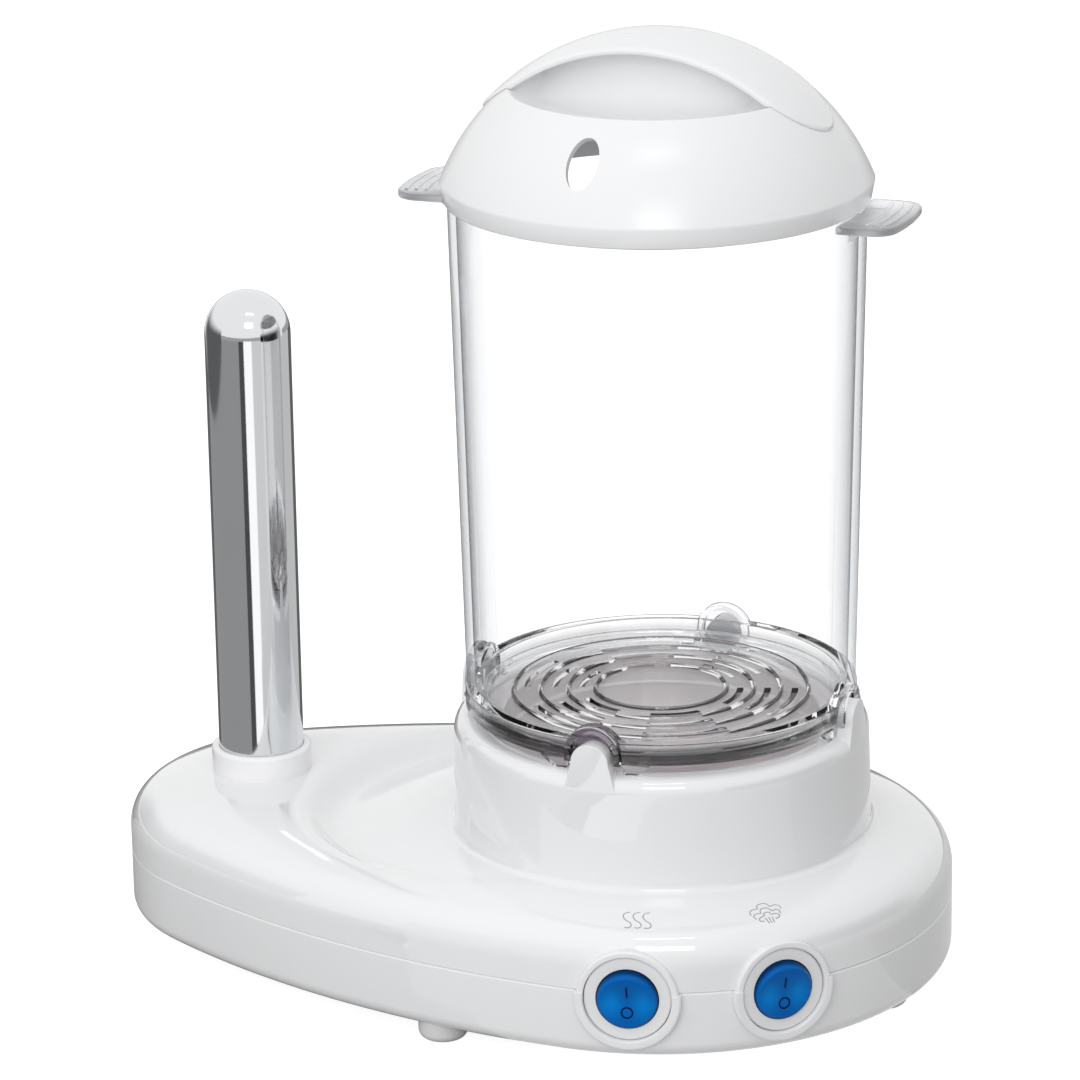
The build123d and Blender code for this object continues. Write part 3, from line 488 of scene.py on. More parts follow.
def copy_turned(piece, angle, x):
    """A copy with its own mesh, turned about the upright axis at x."""
    copy = piece.copy()
    copy.data = piece.data.copy()
    bpy.context.scene.collection.objects.link(copy)
    axis = Matrix.Translation((x, 0, 0))
    copy.data.transform(axis @ Matrix.Rotation(radians(angle), 4, "Z") @ axis.inverted())
    return copy


def four_round(piece):
    """The piece at each quarter turn about the container's axis."""
    return joined(piece.name, [piece] + [copy_turned(piece, angle, POT_X) for angle in (90, 180, 270)])


def finish_piece(piece, material, body, slot, *nodes, angle=30.0):
    """Shades a piece, gives it its material and hands it to its body."""
    smooth(piece, angle)
    piece.data.materials.clear()
    piece.data.materials.append(material)
    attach(piece, body)
    if nodes:
        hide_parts(*nodes)
    return piece


def paint_node(node, material):
    """Gives a CAD node that stays in view its material."""
    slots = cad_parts[node].data.materials
    slots.clear()
    slots.append(material)


# ---------------------------------------------------------------- base form


def on_circle(r, angles, x=POT_X):
    """Places at distances r from the upright axis at x."""
    return x + r * np.cos(angles), r * np.sin(angles)


def rings(rows, angles, x=POT_X):
    """Rows of points from pairs of distance and height, each one number or one for each angle."""
    return [np.stack([*on_circle(r, angles, x), z + 0 * angles], axis=-1) for r, z in rows]


def softest(low, other, blend, sign=1.0):
    """The higher of two heights, or with sign -1 the lower, blended where they are close."""
    near = np.maximum(blend - np.abs(low - other), 0) / blend
    pick_one = np.maximum if sign > 0 else np.minimum
    return pick_one(low, other) + sign * near**2 * blend / 4


class BaseForm:
    """Where the base's surfaces lie."""

    def __init__(self, sizes):
        self.sizes = sizes
        self.shoulder = sizes.seam + sizes.shoulder_rise
        lean = CROWN_RADIUS - EDGE_RADIUS
        self.flat = EDGE_RADIUS + lean * cos(EDGE_TURN)
        self.crown_centre = self.shoulder - lean * sin(EDGE_TURN)
        self.crown = self.crown_centre + CROWN_RADIUS
        self.small_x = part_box("base_upper_housing")[0].x + sizes.small_end
        spacing = POT_X - self.small_x
        big_reach = sizes.side - sizes.big_end
        small_reach = sizes.side - sizes.small_end
        ahead = (small_reach**2 - big_reach**2 - spacing**2) / (2 * spacing)
        self.side_x = POT_X + ahead
        self.side_y = -sqrt(big_reach**2 - ahead**2)

    def inset(self, x, y):
        """How far points lie inside the outline."""
        sizes = self.sizes
        y = np.abs(y)
        big_turn = atan2(-self.side_y, POT_X - self.side_x)
        small_turn = atan2(-self.side_y, self.small_x - self.side_x)
        inset = sizes.side - np.hypot(x - self.side_x, y - self.side_y)
        by_big = np.arctan2(y, x - POT_X) < big_turn
        inset = np.where(by_big, sizes.big_end - np.hypot(x - POT_X, y), inset)
        by_small = np.arctan2(y, x - self.small_x) > small_turn
        return np.where(by_small, sizes.small_end - np.hypot(x - self.small_x, y), inset)

    def border(self, inset, skin=0.0):
        """Height of the round edge and the soft crown at an inset."""
        edge = EDGE_RADIUS - skin
        crown = CROWN_RADIUS - skin
        on_edge = self.shoulder + np.sqrt(np.maximum(edge**2 - (EDGE_RADIUS - inset) ** 2, 0))
        on_crown = self.crown_centre + np.sqrt(crown**2 - np.minimum(inset - self.flat, 0) ** 2)
        return np.where(inset < EDGE_RADIUS - edge * cos(EDGE_TURN), on_edge, on_crown)

    def bowl(self, r):
        """Height of the round hollow at a distance from its own axis."""
        high, turn, bend, reach = self.crown + 0.1 * MM, radians(40), 16 * MM, 91 * MM
        low = self.crown - self.sizes.hollow_depth
        step = bend * tan(turn / 2)
        rim = reach - step
        foot = rim - (high - low) / tan(turn)
        height = high - (rim - r) * tan(turn)
        top = high - bend + np.sqrt(np.maximum(bend**2 - (reach - r) ** 2, 0))
        height = np.where(r > rim - step * cos(turn), top, height)
        height = np.where(r > reach, high, height)
        floor = low + bend - np.sqrt(np.maximum(bend**2 - (r - foot + step) ** 2, 0))
        height = np.where(r < foot + step * cos(turn), floor, height)
        return np.where(r < foot - step, low, height)

    def mound(self, r):
        """Height of the mound that rises to the collar, at a distance from the container's axis."""
        high, turn, bend, start = self.crown + 0.1 * MM, radians(15), 60 * MM, 81 * MM
        arc = high - bend + np.sqrt(np.maximum(bend**2 - (r - start) ** 2, 0))
        end = start + bend * sin(turn)
        slope = high - bend * (1 - cos(turn)) - (r - end) * tan(turn)
        return np.where(r < start, high, np.where(r < end, arc, slope))

    def height(self, x, y):
        """Height of the housing's top."""
        hollow = self.bowl(np.hypot(x - POT_X + 53 * MM, y))
        mound = self.mound(np.hypot(x - POT_X, y))
        inner = softest(hollow, mound, 6 * MM)
        return softest(self.border(self.inset(x, y)), inner, self.sizes.ridge_softness, -1.0)

    def reach(self, angles, insets):
        """Distance from the container's axis at which each ray has each inset."""
        insets = np.asarray(insets)[:, None]
        low = np.full((len(insets), len(angles)), 20 * MM)
        high = np.full_like(low, 260 * MM)
        for _ in range(40):
            middle = (low + high) / 2
            inside = self.inset(*on_circle(middle, angles)) > insets
            low = np.where(inside, middle, low)
            high = np.where(inside, high, middle)
        return low


def woven(name, rows, around=True):
    """A closed mesh from rows of points: each row a ring, and the rows one closed band.

    With around off, the first and last rows are poles."""
    rows = np.asarray(rows, float)
    count, steps = rows.shape[:2]
    index = np.arange(count * steps).reshape(count, steps)
    here = index if around else index[:-1]
    there = np.roll(index, -1, axis=0) if around else index[1:]
    faces = np.stack([here, there, np.roll(there, -1, axis=1), np.roll(here, -1, axis=1)], axis=-1)
    mesh = bpy.data.meshes.new(name)
    mesh.from_pydata(rows.reshape(-1, 3).tolist(), [], faces.reshape(-1, 4).tolist())
    piece = bpy.data.objects.new(name, mesh)
    bpy.context.scene.collection.objects.link(piece)
    pick(piece)
    edit_all()
    close_up()
    return piece


def switch_matrix(angle, radius):
    """Places a piece made about Z at a switch: Z outwards, Y up."""
    turn = radians(angle)
    out = Vector((sin(turn), -cos(turn), 0))
    place = Matrix((Vector((cos(turn), sin(turn), 0)), Vector((0, 0, 1)), out)).transposed().to_4x4()
    place.translation = Vector((POT_X, 0, SWITCH_Z)) + out * radius
    return place


def rod(name, radius, low, high, x=0.0, y=0.0, steps=96):
    """An upright cylinder, for cutting."""
    deselect()
    bpy.ops.mesh.primitive_cylinder_add(
        vertices=steps, radius=radius, depth=high - low, location=(x, y, (low + high) / 2)
    )
    piece = new_piece(name)
    piece.data.transform(piece.matrix_world)
    piece.matrix_world = Matrix.Identity(4)
    return piece


def arc_points(centre, radius, start, end, steps):
    """Points along an arc, angles in degrees."""
    angles = [radians(start + (end - start) * i / steps) for i in range(steps + 1)]
    return [(centre[0] + radius * cos(a), centre[1] + radius * sin(a)) for a in angles]


def bar_points(x, near, far, start, end, steps, z):
    """Outline of a curved bar that lies at height z about the axis at x."""
    outline = arc_points((x, 0), near, start, end, steps) + arc_points((x, 0), far, end, start, steps)
    return [(px, py, z) for px, py in outline]


# ---------------------------------------------------------------- settings


def size(name, description, default, unit="LENGTH"):
    return FloatProperty(name=name, description=description, default=default, unit=unit)


def tone(name, description, default):
    return FloatVectorProperty(name=name, description=description, subtype="COLOR", default=default)


class CookerStudioSettings(bpy.types.PropertyGroup):
    """Light and floor."""

    key_power: size("Key Power", "Power of the main soft lamp", 3.2, "POWER")
    fill_power: size("Fill Power", "Power of the second soft lamp", 5.0, "POWER")
    sky_level: FloatProperty(name="Sky Level", description="Even light from all round", default=0.84, min=0.0)
    floor_colour: tone("Floor Colour", "Colour of the floor", (0.4, 0.4, 0.4))


class CookerBaseSettings(bpy.types.PropertyGroup):
    """Main sizes of the base, whose outline is an oval of four arcs."""

    big_end: size("Big End", "Radius of the end round the container", 0.107)
    small_end: size("Small End", "Radius of the end round the spike", 0.0695)
    side: size("Side", "Radius of the two long sides", 0.36)
    seam: size("Seam", "Height of the line between the two housings", 0.032)
    shoulder_rise: size("Shoulder Rise", "Upright height over the seam", 0.0085)
    wall: size("Wall", "Thickness of the plastic", 0.0026)
    hollow_depth: size("Hollow Depth", "Depth of the crescent hollow", 0.0125)
    ridge_softness: size("Ridge Softness", "Rounding of the hollow's ridge", 0.0022)
    rays: IntProperty(name="Rays", description="Mesh steps round the container", default=560, min=48)


class CookerLidSettings(bpy.types.PropertyGroup):
    """Main sizes of the lid and its handle."""

    radius: size("Radius", "Radius at the shoulder", 0.0772)
    hollow: size("Hollow", "Radius of the finger hollow", 0.0528)
    vent_width: size("Vent Width", "Width of the vent", 0.0114)
    vent_height: size("Vent Height", "Height of the vent", 0.02)
    bar_width: size("Bar Width", "Width of the handle", 0.041)
    bar_length: size("Bar Length", "Length of the handle", 0.129)


class CookerSwitchSettings(bpy.types.PropertyGroup):
    """Main sizes of the round switches."""

    rocker: size("Rocker", "Radius of the rocker", 0.0116)
    slope: FloatProperty(name="Slope", description="Slope of each half, in degrees", default=7.0)


class CookerColourSettings(bpy.types.PropertyGroup):
    """Colours of the finishes."""

    housing: tone("Housing", "Gloss plastic of base and lid", (0.84, 0.845, 0.855))
    clear: tone("Clear Plastic", "Tint of the container", (0.97, 0.975, 0.98))
    lens: tone("Rocker", "Colour of the rockers", (0.001, 0.115, 0.44))


# ---------------------------------------------------------------- pieces


class CookerOperator:
    """What the cooker's operators share."""

    bl_options = {"REGISTER", "UNDO"}


class COOKER_OT_stage(CookerOperator, bpy.types.Operator):
    """Set the floor, the soft light and the camera"""

    bl_idname = "cooker.stage"
    bl_label = "Stage"

    def execute(self, context):
        scene = context.scene
        studio = scene.cooker_studio
        scene.view_settings.view_transform = "Standard"
        self.add_world(scene, studio)
        self.add_floor(studio)
        self.add_lamps(studio)
        self.add_camera(scene)
        return {"FINISHED"}

    def add_world(self, scene, studio):
        """Even light of the sky level, which shows as white in the picture, in gloss and through glass."""
        world = bpy.data.worlds.new("studio")
        world.use_nodes = True
        scene.world = world
        tree = Tree(world.node_tree)
        seen = tree.rays("Camera", "Glossy", "Transmission")
        background = tree.tree.nodes.new("ShaderNodeBackground")
        tree.join(seen * (1.0 - studio.sky_level) + studio.sky_level, background.inputs["Strength"])
        background.inputs["Color"].default_value = WHITE
        output = tree.tree.nodes.new("ShaderNodeOutputWorld")
        tree.tree.links.new(background.outputs[0], output.inputs[0])

    def add_floor(self, studio):
        deselect()
        bpy.ops.mesh.primitive_plane_add(size=30.0)
        floor = new_piece("studio_floor")
        finish = Finish("studio_paper", specular_ior_level=0.2)
        place = finish.place()
        finish.vary(finish.noise(place, 6.0), studio.floor_colour, 0.995, 1.0)
        finish.set("Roughness", 0.6 + finish.noise(place, 80.0) * 0.05)
        seen = finish.rays("Camera", "Transmission")
        finish.glow(finish.blend(seen, BLACK, (0.9, 0.9, 0.9, 1)), 1.0)
        floor.data.materials.append(finish.material)

    def add_lamps(self, studio):
        """Soft lamps, and the cards that give the gloss and the chrome their pattern."""
        aim = Vector((0, 0, 0.15))
        # name, place, width, height, power, and whether gloss alone sees it
        lamps = (
            ("key_lamp", (-0.1, -0.85, 1.2), 1.1, 1.1, studio.key_power, False),
            ("fill_lamp", (0.15, -1.4, 0.7), 0.9, 0.9, studio.fill_power, False),
            ("top_highlight", (0.2, -0.38, 1.23), 0.32, 0.06, 0.4, True),
            ("front_highlight", (0.38, -0.86, 0.87), 0.4, 0.26, 1.3, True),
        )
        for name, place, width, height, power, glossy in lamps:
            bpy.ops.object.light_add(type="AREA", location=place)
            lamp = bpy.context.active_object
            lamp.name = name
            lamp.visible_glossy = glossy
            lamp.visible_diffuse = not glossy
            lamp.visible_camera = lamp.visible_transmission = False
            lamp.data.shape = "RECTANGLE"
            lamp.data.energy = power
            lamp.data.size = width
            lamp.data.size_y = height
            lamp.rotation_euler = (aim - Vector(place)).to_track_quat("-Z", "Y").to_euler()
        near, far, low, high = -0.45, 0.6, 0.06, 0.4
        for side, level in ((-1, 0.12), (1, 0.0)):
            x = side * 0.62
            outline = [(x, near, low), (x, far, low), (x, far, high), (x, near, high)]
            self.add_card("side_card", outline, (side * 0.01, 0, 0), level, True)
        x, y, width, low, high = -0.03, -0.125, 0.21, 0.004, 0.06
        outline = [(x, y, low), (x + width, y, low), (x + width, y, high), (x, y, high)]
        self.add_card("front_card", outline, (0, -0.002, 0), 0.72)
        # fans of tone on the floor round the tube: from and to, in degrees from its front, and level
        fans = (
            (-180, -143, 0.13), (-143, -29, 0.33), (-29, -16, 0.08), (-16, 5, 1.25),
            (5, 30, 0.75), (30, 58, 0.85), (58, 131, 0.62), (131, 180, 0.13),
        )
        front, inner, outer = -61, 0.17, 1.5
        for start, end, level in fans:
            steps = max(2, int((end - start) / 6))
            outline = bar_points(SPIKE_X, inner, outer, start + front, end + front, steps, 0.001)
            self.add_card("floor_fan", outline, (0, 0, 0.002), level)

    def add_card(self, name, outline, depth, level, lit=False):
        """A card that only reflections see. A lit one shades the object too, and pales upwards and backwards."""
        card = slab(name, outline, depth)
        finish = Finish(name, roughness=0.8, specular_ior_level=0.0)
        finish.set("Base Color", BLACK)
        place = finish.place()
        if lit:
            _, along, up = finish.axes(place)
            fade = along.math("MAXIMUM", step_up(finish, along, 0.15, 0.55), step_up(finish, up, 0.2, 0.39))
            finish.glow(finish.blend(fade, (level, level, level, 1), WHITE), 1.0)
        else:
            finish.glow(finish.blend(finish.noise(place, 3.0), (0.97, 0.97, 0.97, 1), WHITE), level)
        card.data.materials.append(finish.material)
        card.visible_camera = card.visible_transmission = card.visible_shadow = False
        card.visible_diffuse = lit

    def add_camera(self, scene):
        turn, rise, roll = radians(21.293), radians(18.031), radians(-0.909)
        target, distance = Vector((4.83, 0, 159.945)) * MM, 1.83109
        sensor, focal_pixels, frame_pixels = 36.0, 5000.0, 1080.0
        back = Vector((sin(turn) * cos(rise), -cos(turn) * cos(rise), sin(rise)))
        right = Vector((cos(turn), sin(turn), 0))
        up = back.cross(right)
        across = right * cos(roll) + up * sin(roll)
        upward = up * cos(roll) - right * sin(roll)
        bpy.ops.object.camera_add()
        camera = bpy.context.active_object
        camera.name = "camera"
        camera.data.sensor_width = sensor
        camera.data.lens = sensor * focal_pixels / frame_pixels
        camera.data.clip_start = 0.05
        place = Matrix((across, upward, back)).transposed().to_4x4()
        place.translation = target + back * distance
        camera.matrix_world = place
        scene.camera = camera


class COOKER_OT_base(CookerOperator, bpy.types.Operator):
    """Make the upper housing with its collar, hollow and tabs, and the tray below it"""

    bl_idname = "cooker.base"
    bl_label = "Base"

    def execute(self, context):
        sizes = context.scene.cooker_base
        form = BaseForm(sizes)
        white = moulded_gloss("housing_gloss", context.scene.cooker_colours.housing, 0.05, 0.08, 0.9)
        shell = self.shell(sizes, form)
        finish_piece(shell, white, "base", "white_gloss", "base_upper_housing", angle=28)
        tray = self.tray(sizes, form)
        finish_piece(tray, white, "base", "white_gloss", "base_lower_housing")
        finish_piece(self.tabs(), white, "base", "white_gloss", angle=40)
        for name, angle in SWITCH_ANGLES.items():
            for upper in (True, False):
                rim = self.rim(name, angle, upper, sizes.seam)
                finish_piece(rim, white, "base", "white_gloss", angle=40)
        rubber = moulded_matte("foot_rubber", (0.74, 0.74, 0.75), 0.35)
        finish_piece(self.feet(), rubber, "base", "rubber_grey", "feet", angle=40)
        return {"FINISHED"}

    def bores(self, radius):
        """Cutters for the round switches."""
        cutters = []
        for name, angle in SWITCH_ANGLES.items():
            cutter = rod(name + "_bore", radius, -30 * MM, 12 * MM)
            cutter.data.transform(switch_matrix(angle, SWITCH_REACH))
            cutters.append(cutter)
        return joined("switch_bores", cutters)

    def shell(self, sizes, form):
        """The upper housing in rings: collar, top, round edge, side, and back along the inside."""
        angles = np.linspace(0, tau, sizes.rays, endpoint=False)
        wall, seam = sizes.wall, sizes.seam
        inner_ledge, mouth = 61 * MM, 66 * MM
        ledge = COLLAR_TOP - 4 * MM
        rows = rounded([
            (inner_ledge, ledge - wall, 0),
            (inner_ledge, ledge, 0),
            (mouth, ledge, 0),
            (mouth, COLLAR_TOP, 1.2 * MM),
            (COLLAR_HEAD, COLLAR_TOP, 6 * MM),
            (COLLAR_FOOT, 40 * MM, 0),
        ], turn=11)[:-1]
        # the collar's wall, then the flare that meets the local height of the top
        start = COLLAR_FOOT + FOOT_FLARE
        foot = form.height(*on_circle(start, angles))
        slope = (form.height(*on_circle(start + MM, angles)) - foot) / MM
        head_r, head_z = rows[-1]
        corner = foot - FOOT_FLARE * slope
        spring = corner + FOOT_FLARE
        for share in np.arange(1, 7) / 6:
            rows.append((head_r + (COLLAR_FOOT - head_r) * share, head_z + (spring - head_z) * share))
        for t in np.arange(1, 9) / 8:
            r = COLLAR_FOOT * ((1 - t) ** 2 + 2 * t * (1 - t)) + start * t**2
            rows.append((r, spring * (1 - t) ** 2 + 2 * t * (1 - t) * corner + foot * t**2))
        # the top, out to the round edge
        insets = EDGE_RADIUS * (1 - np.cos(np.linspace(EDGE_TURN, 0, 14)))
        edge = form.reach(angles, insets)
        top_rows = 92
        for k in range(1, top_rows):
            r = start + (edge[0] - start) * k / top_rows
            rows.append((r, form.height(*on_circle(r, angles))))
        for r, inset in zip(edge, insets):
            rows.append((r, form.border(np.full_like(r, inset))))
        bevel = 0.5 * MM
        rows += [(edge[-1], seam + 4 * MM), (edge[-1], seam + bevel)]
        # back along the inside
        inner_insets = (wall + MM, 6 * MM, 12 * MM)
        drawn = form.reach(angles, [bevel, wall, *inner_insets])
        rows += [(drawn[0], seam), (drawn[1], seam), (drawn[1], form.shoulder)]
        for r, inset in zip(drawn[2:], inner_insets):
            rows.append((r, form.border(np.full_like(r, inset), wall)))
        turn_in = COLLAR_FOOT - wall
        for k in range(1, 13):
            r = drawn[-1] + (turn_in - drawn[-1]) * k / 12
            rows.append((r, form.height(*on_circle(r, angles)) - 1.3 * wall))
        rows.append((COLLAR_HEAD - wall, ledge - wall))
        shell = woven("base_shell", rings(rows, angles))
        carve(shell, self.bores(SWITCH_BORE))
        carve(shell, rod("spike_hole", 18.0 * MM, 40 * MM, 70 * MM, SPIKE_X))
        return shell

    def tray(self, sizes, form):
        """The lower housing, with its switch bores, air slots, foot seats and cord hole."""
        angles = np.linspace(0, tau, 480, endpoint=False)
        low, seam, wall = 7 * MM, sizes.seam, sizes.wall
        edge, bevel = 6 * MM, 0.5 * MM
        outer = [(edge * (1 - sin(a)), low + edge * (1 - cos(a))) for a in np.linspace(0, pi / 2, 9)]
        inner_edge = edge - wall
        inner = [
            (wall + inner_edge * (1 - sin(a)), low + wall + inner_edge * (1 - cos(a)))
            for a in np.linspace(pi / 2, 0, 6)
        ]
        line = outer + [(0, seam - bevel), (bevel, seam), (wall, seam)] + inner
        flat = form.reach(angles, [edge])[0]
        rows = [(flat * share, low) for share in (0, 0.25, 0.5, 0.75)]
        rows += [(r, z) for (inset, z), r in zip(line, form.reach(angles, [inset for inset, z in line]))]
        rows += [(flat * share, low + wall) for share in (0.66, 0.33, 0)]
        tray = woven("base_tray", rings(rows, angles), around=False)
        carve(tray, self.bores(SWITCH_BORE))
        slots = []
        half, reach, pitch = 1.5 * MM, 15.5 * MM, 9 * MM
        for i in range(-2, 3):
            x = POT_X + i * pitch
            outline = arc_points((x, reach), half, 0, 180, 10) + arc_points((x, -reach), half, 180, 360, 10)
            slots.append(slab("slot", [(px, py, 4 * MM) for px, py in outline], (0, 0, 10 * MM)))
        carve(tray, joined("slots", slots))
        seat_radius = 9.3 * MM
        seats = [rod("seat", seat_radius, 4 * MM, FOOT_TOP, x, y, 64) for x, y in FEET]
        carve(tray, joined("seats", seats))
        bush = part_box("inlet_bush")
        middle = (bush[0] + bush[1]) / 2
        hole = rod("bush_hole", 5.7 * MM, -8 * MM, 8 * MM)
        turn = Vector((middle.x - form.side_x, middle.y - form.side_y, 0)).normalized()
        hole.data.transform(turn.to_track_quat("Z", "Y").to_matrix().to_4x4())
        hole.data.transform(Matrix.Translation(middle))
        carve(tray, hole)
        return tray

    def feet(self):
        made = []
        for x, y in FEET:
            section = rounded([(0, FOOT_TOP, 0), (0, 0, 0), (FOOT_RADIUS, 0, 3.2 * MM), (FOOT_RADIUS, FOOT_TOP, 0)], 10)
            foot = spun("foot", section, steps=72)
            foot.data.transform(Matrix.Translation((x, y, 0)))
            made.append(foot)
        return joined("rubber_feet", made)

    def tabs(self):
        """Four round-topped tongues that stand up round the collar and run down into its face."""
        top, foot, half, head = COLLAR_TOP + 12 * MM, COLLAR_TOP - 12 * MM, 9.8 * MM, 7 * MM
        hip = COLLAR_TOP - 6 * MM
        outline = [(half, hip)] + arc_points((0, top - head), head, 0, 180, 28)
        outline += [(-half, hip), (-half, foot), (half, foot)]
        tab = slab("collar_tabs", [(POT_X + x, -78 * MM, z) for x, z in outline], (0, 8 * MM, 0))
        carve(tab, rod("round", 75.97 * MM, foot - MM, top + MM, POT_X, steps=288), "INTERSECT")
        soften(tab, 1.0 * MM, 4)
        return four_round(tab)

    def rim(self, name, angle, upper, seam):
        """Half of the round rim about a switch, above or below the seam."""
        face, outer = (0.8 * MM, 18.2 * MM) if upper else (1.4 * MM, 19.1 * MM)
        inner, sunk = 15.75 * MM, -9 * MM
        section = rounded([(inner, sunk, 0), (outer, sunk, 0), (outer, face, 0.9 * MM), (inner, face, 0.5 * MM)], 15)
        rim = spun(name + ("_rim_upper" if upper else "_rim_lower"), section, steps=144)
        rim.data.transform(switch_matrix(angle, SWITCH_REACH))
        pick(rim)
        edit_all()
        bpy.ops.mesh.bisect(
            plane_co=(0, 0, seam), plane_no=(0, 0, 1), use_fill=True, clear_inner=upper, clear_outer=not upper
        )
        bpy.ops.object.mode_set(mode="OBJECT")
        return rim


class COOKER_OT_spike(CookerOperator, bpy.types.Operator):
    """Make the chromed tube and the ring it stands in"""

    bl_idname = "cooker.spike"
    bl_label = "Spike"

    def execute(self, context):
        low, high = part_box("spike_tube")
        radius, wall = 16 * MM, MM
        tip = [(r, high.z - radius + z) for r, z in arc_points((0, 0), radius, 90, 0, 20)]
        inner_tip = [(r, high.z - radius + z) for r, z in arc_points((0, 0), radius - wall, 0, 90, 12)]
        section = tip + [(radius, low.z), (radius - wall, low.z)] + inner_tip
        tube = spun("spike_tube_bright", section, SPIKE_X, 144)
        chrome = polished_chrome("tube_chrome", (0.77, 0.785, 0.8))
        finish_piece(tube, chrome, "base", "chrome", "spike_tube", angle=40)
        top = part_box("spike_ring")[1].z
        hole, rim, foot = 16.05 * MM, 18.9 * MM, top - 12 * MM
        section = rounded([(hole, foot, 0), (rim, foot, 0), (rim, top, 1.4 * MM), (hole, top, 0.4 * MM)], 15)
        ring = spun("spike_ring_satin", section, SPIKE_X, 128)
        satin = moulded_gloss("ring_satin", (0.9, 0.9, 0.91), 0.14, 0.1)
        finish_piece(ring, satin, "base", "white_satin", "spike_ring", angle=40)
        return {"FINISHED"}


class COOKER_OT_dish(CookerOperator, bpy.types.Operator):
    """Make the metal water dish under the container"""

    bl_idname = "cooker.dish"
    bl_label = "Water Dish"

    def execute(self, context):
        low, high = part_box("water_dish")
        plate, bowl, flange = 1.2 * MM, 58.6 * MM, 65 * MM
        section = rounded([
            (0, low.z, 0),
            (bowl, low.z, 3 * MM),
            (bowl, high.z - plate, 0.6 * MM),
            (flange, high.z - plate, 0),
            (flange, high.z, 0.5 * MM),
            (bowl - plate, high.z, 1.2 * MM),
            (bowl - plate, low.z + plate, 1.8 * MM),
            (0, low.z + plate, 0),
        ])
        dish = spun("water_dish_metal", section, POT_X, 192)
        metal = turned_metal("dish_metal", (0.56, 0.5, 0.515), POT_X, 0.32)
        finish_piece(dish, metal, "base", "aluminium", "water_dish", angle=40)
        return {"FINISHED"}


